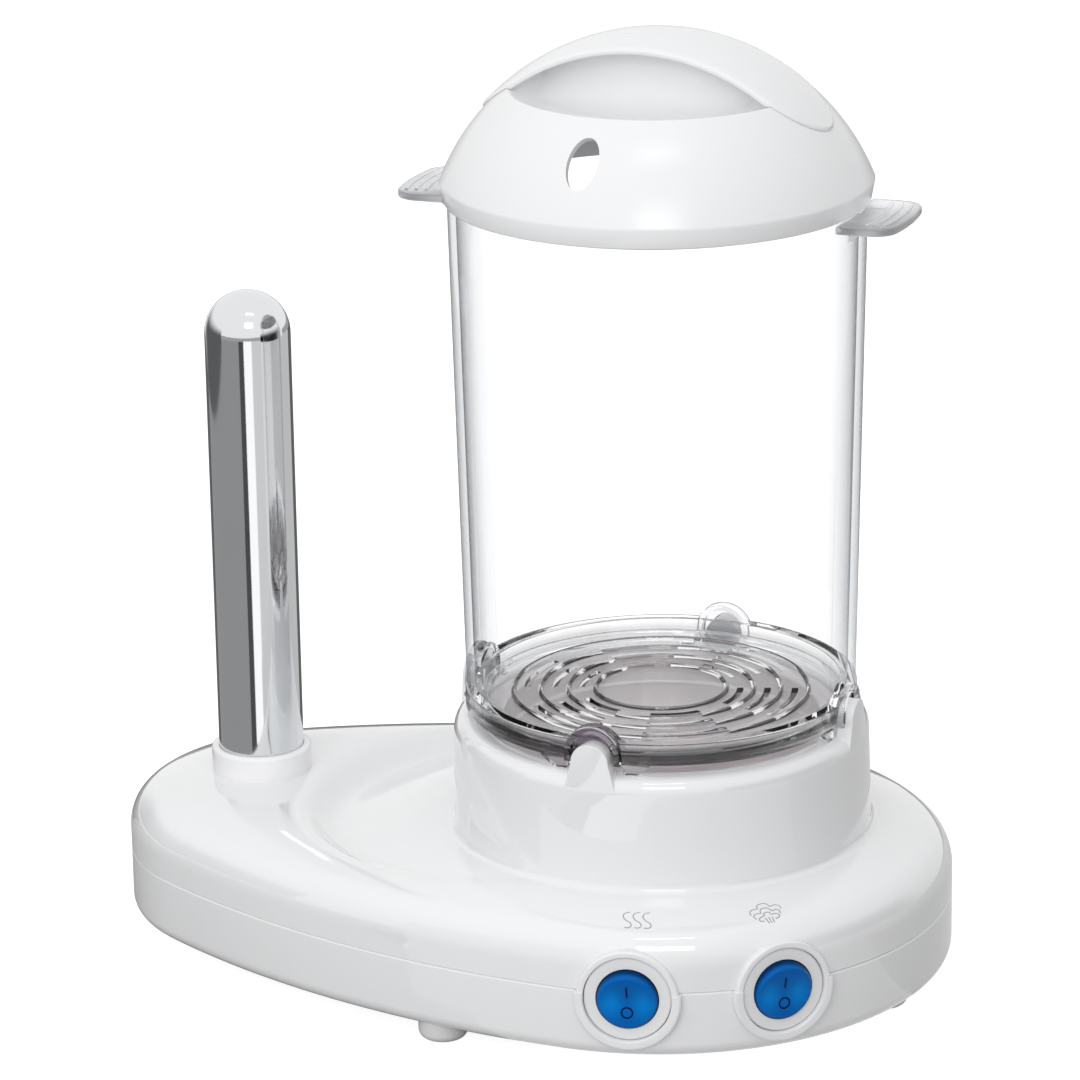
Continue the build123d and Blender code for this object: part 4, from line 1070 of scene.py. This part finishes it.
class COOKER_OT_container(CookerOperator, bpy.types.Operator):
    """Make the clear container with its arched ring, feet and handles, and its ribbed floor"""

    bl_idname = "cooker.container"
    bl_label = "Container"

    def execute(self, context):
        tint = context.scene.cooker_colours.clear
        wall_clear = clear_plastic("container_styrene", tint)
        floor_clear = clear_plastic("floor_styrene", tint, zoned=False)
        finish_piece(self.wall(), wall_clear, "container", "clear", "container", angle=32)
        finish_piece(self.floor(), floor_clear, "container", "clear", "container_floor", angle=32)
        return {"FINISHED"}

    def wall(self):
        foot = COLLAR_TOP
        low, ring_top, top = foot + RING_LOW, foot + RING_HIGH, CONTAINER_TOP
        lip, step = 63.5 * MM, 66.0 * MM
        section = rounded([
            (lip, low, 0),
            (71.6 * MM, low, 0.5 * MM),
            (71.6 * MM, ring_top, 0.6 * MM),
            (71.05 * MM, ring_top, 0),
            (74.8 * MM, top, 1.2 * MM),
            (71.8 * MM, top, 1.2 * MM),
            (68.05 * MM, ring_top, 0.5 * MM),
            (step, ring_top, 0.4 * MM),
            (step, low + 2 * MM, 0),
            (lip, low + 2 * MM, 0.3 * MM),
        ], 20)
        pot = spun("container_clear", section, POT_X, 224)
        outer = 73.4 * MM
        rim = self.arch("rim", ARCH_BORDER, low, 67.5 * MM, outer)
        soften(rim, 0.5 * MM, 2)
        carve(pot, four_round(rim), "UNION")
        feet = []
        corners = ((10.5, low + MM, 0), (10.7, foot, 0.4), (15.8, foot, 0.8), (20.4, low, 0.5), (20.4, low + MM, 0))
        for side in (-1, 1):
            outline = rounded([(POT_X + side * x * MM, z, r * MM) for x, z, r in corners], 30)
            feet.append(slab("foot", [(px, -69.6 * MM, z) for px, z in outline], (0, 3.6 * MM, 0)))
        carve(pot, four_round(joined("feet", feet)), "UNION")
        carve(pot, four_round(self.arch("notch", 0, foot - MM, 69.5 * MM, outer + 2 * MM)))
        handle = self.handle(top - 3.2 * MM)
        carve(pot, joined("handles", [handle, copy_turned(handle, 180, POT_X)]), "UNION")
        return pot

    def arch(self, name, grow, low, inner, outer):
        half = ARCH_HALF + grow
        outline = [(half, low)] + arc_points((0, COLLAR_TOP + ARCH_RISE), half, 0, 180, 28) + [(-half, low)]
        return slab(name, [(POT_X + x, -outer, z) for x, z in outline], (0, outer - inner, 0))

    def handle(self, high):
        """The tongue towards +X, with finger ribs on top and two gussets below."""
        thick, reach, half, corner = 2.7 * MM, 94.5 * MM, 22 * MM, 9 * MM
        offset = half - corner
        centre = sqrt((reach - corner) ** 2 - offset**2)
        lean = asin(offset / (reach - corner)) * 180 / pi
        tip = arc_points((centre, offset), corner, 90, lean, 10)
        tip += arc_points((0, 0), reach, lean, -lean, 8)[1:-1]
        tip += arc_points((centre, -offset), corner, -lean, -90, 10)
        outline = [(73.2 * MM, half)] + tip + [(73.2 * MM, -half)]
        tongue = slab("tongue", [(POT_X + x, y, high - thick) for x, y in outline], (0, 0, thick))
        soften(tongue, 0.6 * MM, 3)
        for i in range(3):
            radius, half_rib = reach - (i + 1) * 3.6 * MM, 0.6 * MM
            outline = bar_points(POT_X, radius - half_rib, radius + half_rib, -11, 11, 10, high - 0.4 * MM)
            carve(tongue, slab("rib", outline, (0, 0, 0.95 * MM)), "UNION")
        inner, tip, under = 74.2 * MM, 82.8 * MM, high - thick + 0.3 * MM
        for side in (-1, 1):
            y = side * 10 * MM - 0.8 * MM
            points = [(inner, under), (tip, under), (inner, under - 6 * MM)]
            gusset = slab("gusset", [(POT_X + x, y, z) for x, z in points], (0, 1.6 * MM, 0))
            carve(tongue, gusset, "UNION")
        return tongue

    def floor(self):
        """The disc with four raised rings and three circles of slots."""
        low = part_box("container_floor")[0].z
        top, edge = low + 2 * MM, 65.9 * MM
        half_ring = ((1.0, 0), (0.75, 0.5), (0.45, 1.0), (0, 1.2), (-0.45, 1.0), (-0.75, 0.5), (-1.0, 0))
        section = [(0, low), (edge, low), (edge, top)]
        for radius in (54, 44, 34, 24):
            section += [((radius + r) * MM, top + z * MM) for r, z in half_ring]
        section.append((0, top))
        disc = spun("container_floor_clear", section, POT_X, 192)
        slots = []
        for radius in (29, 39, 49):
            near, far = (radius - 1.2) * MM, (radius + 1.2) * MM
            for start in range(-18, 342, 60):
                outline = bar_points(POT_X, near, far, start, start + 36, 14, low - MM)
                slots.append(slab("slot", outline, (0, 0, 5 * MM)))
        carve(disc, joined("slots", slots))
        return disc


class COOKER_OT_lid(CookerOperator, bpy.types.Operator):
    """Make the domed lid with its finger hollow, vent and handle"""

    bl_idname = "cooker.lid"
    bl_label = "Lid"

    def execute(self, context):
        sizes = context.scene.cooker_lid
        # the housing's white, darkened by 4% as painted shade
        white = moulded_gloss("lid_gloss", shade(context.scene.cooker_colours.housing, 0.96), 0.24, 0.0)
        self.set_spheres(sizes)
        finish_piece(self.dome(sizes), white, "lid", "white_gloss", "lid_dome", angle=34)
        finish_piece(self.handle(sizes), white, "lid", "white_gloss", "lid_handle", angle=40)
        return {"FINISHED"}

    def set_spheres(self, sizes):
        """The dome's sphere, and that of the hollow's floor, whose centre is above it."""
        rise, sag = 52 * MM, 8 * MM
        self.rim_z = CONTAINER_TOP
        self.lip_z = self.rim_z - 2.7 * MM
        self.shoulder = self.lip_z + 6.7 * MM
        self.radius = (sizes.radius**2 + rise**2) / (2 * rise)
        self.centre = self.shoulder + rise - self.radius
        crest = self.centre + sqrt(self.radius**2 - sizes.hollow**2)
        self.floor_radius = (sizes.hollow**2 + sag**2) / (2 * sag)
        self.floor_centre = crest - sag + self.floor_radius

    def on_dome(self, r, skin=0.0):
        """Height of the dome's outer face, or of one that lies skin over it."""
        return self.centre + sqrt((self.radius + skin) ** 2 - r**2)

    def on_floor(self, r, skin=0.0):
        """Height of the hollow's floor, or of a face that lies skin over it."""
        return self.floor_centre - sqrt((self.floor_radius - skin) ** 2 - r**2)

    def dome(self, sizes):
        """The shell: floor, dome, lip, spigot and back along the inside, with the vent cut out."""
        wall = 2.4 * MM
        radius, hollow = sizes.radius, sizes.hollow
        outer = [(r, self.on_floor(r), 0) for r in np.linspace(0, hollow - MM, 26)]
        outer.append((hollow, self.on_dome(hollow), 1.1 * MM))
        outer += [(r, self.on_dome(r), 0) for r in np.linspace(hollow + 1.2 * MM, radius - 0.4 * MM, 26)]
        outer.append((radius, self.shoulder, 0))
        gap = self.floor_centre - self.centre
        inner, under = self.radius - wall, self.floor_radius + wall
        meet_rise = (gap**2 + inner**2 - under**2) / (2 * gap)
        meet = sqrt(inner**2 - meet_rise**2)
        shelf = radius - wall - 0.6 * MM
        mouth, spigot = 75.2 * MM, 71.4 * MM
        spigot_low, spigot_inner = self.rim_z - 4 * MM, spigot - 2 * MM
        section = outer + [
            (radius - 1.2 * MM, self.lip_z, 0.6 * MM),
            (mouth, self.lip_z, 0),
            (mouth, self.rim_z, 0),
            (spigot, self.rim_z, 0),
            (spigot, spigot_low, 0.5 * MM),
            (spigot_inner, spigot_low, 0.5 * MM),
            (spigot_inner, self.rim_z + wall, 0),
            (shelf, self.rim_z + wall, 0),
        ]
        section += [(r, self.on_dome(r, -wall), 0) for r in np.linspace(shelf, meet, 14)]
        section += [(r, self.on_floor(r, -wall), 0) for r in np.linspace(meet - MM, 0, 12)]
        dome = spun("lid_dome_gloss", rounded(section, 20), POT_X, 224)
        tilt, turn = radians(38), radians(-3)
        vent = rod("vent", 1.0, -5 * MM, 5 * MM, steps=96)
        vent.data.transform(Matrix.Diagonal((sizes.vent_width / 2, sizes.vent_height / 2, 1, 1)))
        out = Vector((0, -cos(tilt), sin(tilt)))
        place = Matrix((Vector((1, 0, 0)), out.cross(Vector((1, 0, 0))), out)).transposed().to_4x4()
        place.translation = out * self.radius
        vent.data.transform(place)
        vent.data.transform(Matrix.Translation((POT_X, 0, self.centre)) @ Matrix.Rotation(turn, 4, "Z"))
        carve(dome, vent)
        return dome

    def handle(self, sizes):
        """The bar over the hollow: thin at its edges, with a scooped web and roots below."""
        half, length, hollow = sizes.bar_width / 2, sizes.bar_length / 2, sizes.hollow
        proud, under, thin = MM, -1.1 * MM, 0.9 * MM
        # the scooped web keeps its shape out to root, and has widened into the bar's end at corner
        root, corner = 39.5 * MM, 48.4 * MM
        web_half, foot_spread = 8 * MM, 10 * MM
        straight = length - half

        def seat(x, y):
            """Height at which the bar meets the lid's dome or the hollow's floor."""
            r = hypot(x, y)
            return self.on_dome(r, 0.05 * MM) if r > hollow else self.on_floor(r, -0.12 * MM)

        def section(x):
            """The closed outline across the bar at x, drawn for one side and mirrored."""
            past = max(0.0, abs(x) - straight)
            wide = sqrt(max(half**2 - past**2, 0))
            edge = min(thin, wide / 3)
            low = max(self.on_dome(hypot(x, wide), under), seat(x, wide))
            high = self.on_dome(hypot(x, wide), proud)
            edge_high = min(edge, (high - low) * 0.6)
            edge_low = min(edge, (high - low) * 0.35)
            share = min(1.0, max(0.0, (abs(x) - root) / (corner - root)))
            foot = head = wide - edge
            if share < 1:
                spread = half + foot_spread * (1 - (x / corner) ** 2)
                foot = spread + (foot - spread) * share
                head = web_half + (head - web_half) * share
            points = [(foot * k / 6, seat(x, foot * k / 6)) for k in range(7)]
            # the scoop, from the foot up to the web's head
            rise = max(self.on_dome(hypot(x, head), under) - seat(x, head), 0)
            for k in range(1, 18):
                t = k / 18 * pi / 2
                y = foot - (foot - head) * sin(t)
                points.append((y, seat(x, y) + rise * (1 - cos(t))))
            # the underside, the thin round edge, and the top back to the middle
            for k in range(5):
                y = head + (wide - edge - head) * k / 4
                points.append((y, max(self.on_dome(hypot(x, y), under), seat(x, y))))
            points += [(wide - edge + edge * sin(a), low + edge_low * (1 - cos(a))) for a in (0.5, 1.05, pi / 2)]
            points += [(wide - edge + edge * cos(a), high - edge_high * (1 - sin(a))) for a in (0, 0.5, 1.05)]
            points += [
                ((wide - edge) * k / 12, self.on_dome(hypot(x, (wide - edge) * k / 12), proud))
                for k in range(12, -1, -1)
            ]
            mirrored = [(-y, z) for y, z in reversed(points[1:-1])]
            return [(POT_X + x, y, z) for y, z in points + mirrored]

        stations = list(np.arange(0, straight, 2 * MM))
        stations += [root - 0.2 * MM, root, root + 0.2 * MM, corner - 0.1 * MM, corner + 0.1 * MM]
        stations += [straight + half * sin(a) for a in np.linspace(0, pi / 2 * 0.985, 30)]
        stations = sorted(stations)
        rows = [section(x) for x in [-x for x in reversed(stations[1:])] + stations]
        tip = (self.on_dome(length, proud) + self.on_dome(length, 0)) / 2
        poles = [[(POT_X + side * length, 0, tip)] * len(rows[0]) for side in (-1, 1)]
        return woven("lid_handle_gloss", [poles[0]] + rows + [poles[1]], around=False)


class COOKER_OT_switches(CookerOperator, bpy.types.Operator):
    """Make the two round switches with their marked rockers"""

    bl_idname = "cooker.switches"
    bl_label = "Switches"

    def execute(self, context):
        sizes = context.scene.cooker_switch
        cream = moulded_gloss("bezel_cream", (0.82, 0.82, 0.825), 0.16)
        blue = lens_plastic("rocker_lens", context.scene.cooker_colours.lens)
        navy = moulded_matte("rocker_mark", (0.0, 0.012, 0.06), 0.35, shine=0.05)
        for name, angle in SWITCH_ANGLES.items():
            body = name.replace("switch", "rocker")
            place = switch_matrix(angle, SWITCH_REACH)
            bezel = self.bezel(name, sizes)
            bezel.data.transform(place)
            finish_piece(bezel, cream, "base", "cream", name + "_body", angle=40)
            pivot = Matrix.Translation((0, 0, ROCKER_PIVOT))
            tilt = place @ pivot @ Matrix.Rotation(radians(sizes.slope), 4, "X") @ pivot.inverted()
            rocker = self.rocker(name, sizes)
            rocker.data.transform(tilt)
            finish_piece(rocker, blue, body, "blue", name + "_rocker", angle=40)
            marks = self.marks(name, sizes)
            marks.data.transform(tilt)
            finish_piece(marks, navy, body, "blue", angle=40)
        return {"FINISHED"}

    def bezel(self, name, sizes):
        hole = sizes.rocker + 0.3 * MM
        seat = [(hole * cos(a), ROCKER_PIVOT + hole * sin(a), 0) for a in np.linspace(0.32, 0.0, 6)]
        flange, body, under, well, back = 15.6 * MM, 14 * MM, -3.6 * MM, -17 * MM, -19 * MM
        section = [(flange, 0, 0.8 * MM), *seat, (hole, well, 0), (0, well, 0), (0, back, 0)]
        section += [(body, back, 0), (body, under, 0), (flange, under, 0)]
        return spun(name + "_bezel", rounded(section, 20), 0.0, 120)

    def front(self, x, y, sizes):
        """The rocker's shallow V front, kept inside its round body."""
        soft = 0.8 * MM
        valley = np.sqrt(y * y + soft**2) - soft
        v = 1.1 * MM + valley * tan(radians(sizes.slope))
        round_body = ROCKER_PIVOT + np.sqrt(np.maximum(sizes.rocker**2 - x * x - y * y, 0))
        return softest(v, round_body, 0.7 * MM, -1.0)

    def rocker(self, name, sizes):
        """The lens, which carries how near a spot is to its rim and to the two pools of painted light."""
        angles = np.linspace(0, tau, 128, endpoint=False)
        rows = []
        for r in sizes.rocker * np.sin(np.linspace(0, pi / 2, 44)):
            rows.append((r, self.front(*on_circle(r, angles, 0), sizes)))
        rows += [(r * sizes.rocker, -down * MM) for down, r in ((5, 0.996), (7, 0.96), (9, 0.91), (9, 0))]
        rocker = woven(name + "_lens", rings(rows, angles, 0), around=False)
        across, up = np.array([v.co.xy for v in rocker.data.vertices]).T / sizes.rocker
        rim = np.minimum(np.hypot(across, up), 1.0)
        # two pools of painted light, left and right of the middle
        painted_glow = np.exp(-((np.abs(across) - 0.5) ** 2 + (up + 0.05) ** 2 * 0.7) / 0.13)
        for label, values in (("rim", rim), ("painted_glow", painted_glow)):
            rocker.data.attributes.new(label, "FLOAT", "POINT").data.foreach_set("value", values)
        return rocker

    def marks(self, name, sizes):
        """The line and the ring that stand for on and off, inlaid in the front."""
        up, thick, sunk = 4.1 * MM, 0.2 * MM, 0.16 * MM
        bar = [(-0.32, -2.2), (0.32, -2.2), (0.32, 2.2), (-0.32, 2.2)]
        line = slab("line", [(x * MM, up + y * MM, 0) for x, y in bar], (0, 0, thick))
        inner, outer = 1.65 * MM, 2.25 * MM
        ring = spun("ring", [(inner, 0), (outer, 0), (outer, thick), (inner, thick)], 0.0, 48)
        ring.data.transform(Matrix.Translation((0, -up, 0)))
        marks = joined(name + "_marks", [line, ring])
        for vertex in marks.data.vertices:
            x, y, z = vertex.co
            vertex.co.z = float(self.front(np.float64(x), np.float64(y), sizes)) + z - sunk
        return marks


class COOKER_OT_signs(CookerOperator, bpy.types.Operator):
    """Print the heat and steam signs over the switches"""

    bl_idname = "cooker.signs"
    bl_label = "Signs"

    def execute(self, context):
        form = BaseForm(context.scene.cooker_base)
        ink = moulded_matte("sign_ink", (0.34, 0.345, 0.36), 0.45, 900)
        wave = (
            (0.75, 4.3), (-1.0, 3.6), (-1.6, 1.9), (-0.65, 0.05), (1.2, -1.5), (1.7, -2.95), (0.8, -3.9), (-0.6, -3.8),
        )
        heat = [[(x + shift, y) for x, y in wave] for shift in (-3.5, 0, 3.5)]
        self.sign("heat_sign", heat, 14.3, 94.4 * MM, form, ink)
        cloud_top = (
            (-5.1, 0.1), (-5.5, 0.6), (-5.3, 1.5), (-4.6, 2.4), (-3.6, 2.8), (-1.8, 2.9),
            (-1.7, 3.9), (-1.0, 4.8), (0.1, 5.2), (1.4, 5.3), (2.3, 4.9), (2.8, 3.8),
            (3.2, 3.1), (4.1, 3.45), (5.25, 3.6), (6.3, 3.05), (6.6, 2.2), (6.5, 1.3),
        )
        cloud_middle = (
            (-4.3, -2.2), (-4.7, -1.5), (-4.8, -0.6), (-4.0, 0.1), (-3.1, 0.4), (-1.7, 0.35),
            (-1.4, 1.4), (-0.85, 2.3), (0.1, 2.7), (1.2, 2.7), (2.1, 2.3), (2.6, 0.8),
            (3.6, 0.95), (4.7, 1.1), (5.4, 0.65), (5.5, -0.2), (5.25, -1.1),
        )
        cloud_low = (
            (-1.9, -3.6), (-2.8, -3.7), (-3.4, -3.2), (-3.4, -2.5), (-2.7, -1.8), (-1.8, -1.4),
            (-0.8, -1.1), (-0.9, -0.4), (-0.2, 0.2), (0.6, 0.4), (1.5, 0.1), (2.0, -1.05),
            (2.9, -0.8), (3.7, -0.85), (4.4, -1.4), (4.55, -2.15), (3.8, -2.9), (2.5, -3.3),
        )
        jets = ((-1.1, 0.6), (0.25, 0.2), (1.6, -0.15))
        steam = [cloud_top, cloud_middle, cloud_low]
        steam += [((x, -2.3), (x + lean * 0.5, -3.6), (x + lean, -4.8)) for x, lean in jets]
        self.sign("steam_sign", steam, 42.2, 95.0 * MM, form, ink)
        return {"FINISHED"}

    def smoothed(self, points):
        """The points with a soft curve led through them."""
        steps = 6
        spots = np.array([2 * np.array(points[0]) - points[1], *points, 2 * np.array(points[-1]) - points[-2]])
        made = []
        for before, here, after, beyond in zip(spots, spots[1:], spots[2:], spots[3:]):
            for t in np.arange(steps) / steps:
                made.append(here + 0.5 * t * (
                    after - before + t * (2 * before - 5 * here + 4 * after - beyond)
                    + t * t * (3 * (here - after) + beyond - before)))
        return np.array([*made, spots[-2]])

    def sign(self, name, lines, angle, radius, form, ink):
        turn = radians(angle)
        out = np.array((sin(turn), -cos(turn)))
        along = np.array((cos(turn), sin(turn)))
        middle = np.array((POT_X, 0)) + out * radius
        width, lift, sink = 0.2 * MM, 0.035 * MM, 0.12 * MM
        strips = []
        for points in lines:
            path = np.array([middle + along * u * MM - out * v * MM for u, v in self.smoothed(points)])
            ahead = np.gradient(path, axis=0)
            ahead /= np.linalg.norm(ahead, axis=1)[:, None]
            side = np.stack([-ahead[:, 1], ahead[:, 0]], axis=-1) * width
            rows = []
            for edge, rise in ((side, lift), (-side, lift), (-side, -sink), (side, -sink)):
                spot = path + edge
                z = form.height(spot[:, 0], spot[:, 1]) + rise
                rows.append(np.column_stack([spot, z]))
            bands = np.stack(rows, axis=1)
            ends = [np.repeat(band.mean(axis=0)[None], 4, axis=0) for band in (bands[0], bands[-1])]
            strips.append(woven("line", [ends[0], *bands, ends[1]], around=False))
        finish_piece(joined(name, strips), ink, "base", "grey_plastic", angle=40)


class COOKER_OT_inner(CookerOperator, bpy.types.Operator):
    """Paint the CAD parts that stay as they are, most of them inside the base"""

    bl_idname = "cooker.inner"
    bl_label = "Inner Parts"

    def execute(self, context):
        steel = brushed_metal("plain_steel", (0.62, 0.62, 0.63))
        brass = brushed_metal("terminal_brass", (0.7, 0.55, 0.28))
        finishes = (
            (steel, ("housing_screws", "dish_retainer", "thermostat_bracket")),
            (brushed_metal("heater_sheath", (0.4, 0.39, 0.38), 0.42), ("spike_heater", "dish_heater")),
            (turned_metal("thermostat_cap", (0.6, 0.6, 0.61), POT_X, 0.28), ("thermostat",)),
            (brass, ("spike_switch_terminals", "dish_switch_terminals")),
            (moulded_matte("seal_silicone", (0.7, 0.7, 0.69), 0.4), ("dish_seal",)),
            (moulded_matte("bush_rubber", (0.72, 0.72, 0.73), 0.5), ("inlet_bush",)),
            (moulded_matte("block_plastic", (0.8, 0.8, 0.78)), ("spike_nut", "terminal_block")),
            (moulded_matte("fuse_grey", (0.35, 0.35, 0.36)), ("thermal_fuse",)),
        )
        for material, nodes in finishes:
            for node in nodes:
                paint_node(node, material)
        return {"FINISHED"}


class COOKER_PT_panel(bpy.types.Panel):
    """The cooker's steps and settings"""

    bl_idname = "COOKER_PT_panel"
    bl_label = "Cooker"
    bl_space_type = "VIEW_3D"
    bl_region_type = "UI"
    bl_category = "Cooker"

    def draw(self, context):
        for operator in OPERATORS:
            self.layout.operator(operator.bl_idname)
        for name, group in SETTINGS:
            box = self.layout.box()
            box.label(text=group.__doc__)
            for setting in group.__annotations__:
                box.prop(getattr(context.scene, name), setting)


OPERATORS = (
    COOKER_OT_stage,
    COOKER_OT_base,
    COOKER_OT_spike,
    COOKER_OT_dish,
    COOKER_OT_container,
    COOKER_OT_lid,
    COOKER_OT_switches,
    COOKER_OT_signs,
    COOKER_OT_inner,
)
SETTINGS = (
    ("cooker_base", CookerBaseSettings),
    ("cooker_lid", CookerLidSettings),
    ("cooker_switch", CookerSwitchSettings),
    ("cooker_studio", CookerStudioSettings),
    ("cooker_colours", CookerColourSettings),
)


def register():
    for name, group in SETTINGS:
        bpy.utils.register_class(group)
        setattr(bpy.types.Scene, name, PointerProperty(type=group))
    for operator in OPERATORS:
        bpy.utils.register_class(operator)
    bpy.utils.register_class(COOKER_PT_panel)


def unregister():
    bpy.utils.unregister_class(COOKER_PT_panel)
    for operator in reversed(OPERATORS):
        bpy.utils.unregister_class(operator)
    for name, group in reversed(SETTINGS):
        delattr(bpy.types.Scene, name)
        bpy.utils.unregister_class(group)


def main():
    register()
    bpy.ops.cooker.stage()
    bpy.ops.cooker.base()
    bpy.ops.cooker.spike()
    bpy.ops.cooker.dish()
    bpy.ops.cooker.container()
    bpy.ops.cooker.lid()
    bpy.ops.cooker.switches()
    bpy.ops.cooker.signs()
    bpy.ops.cooker.inner()
    deselect()


if __name__ == "__main__":
    main()
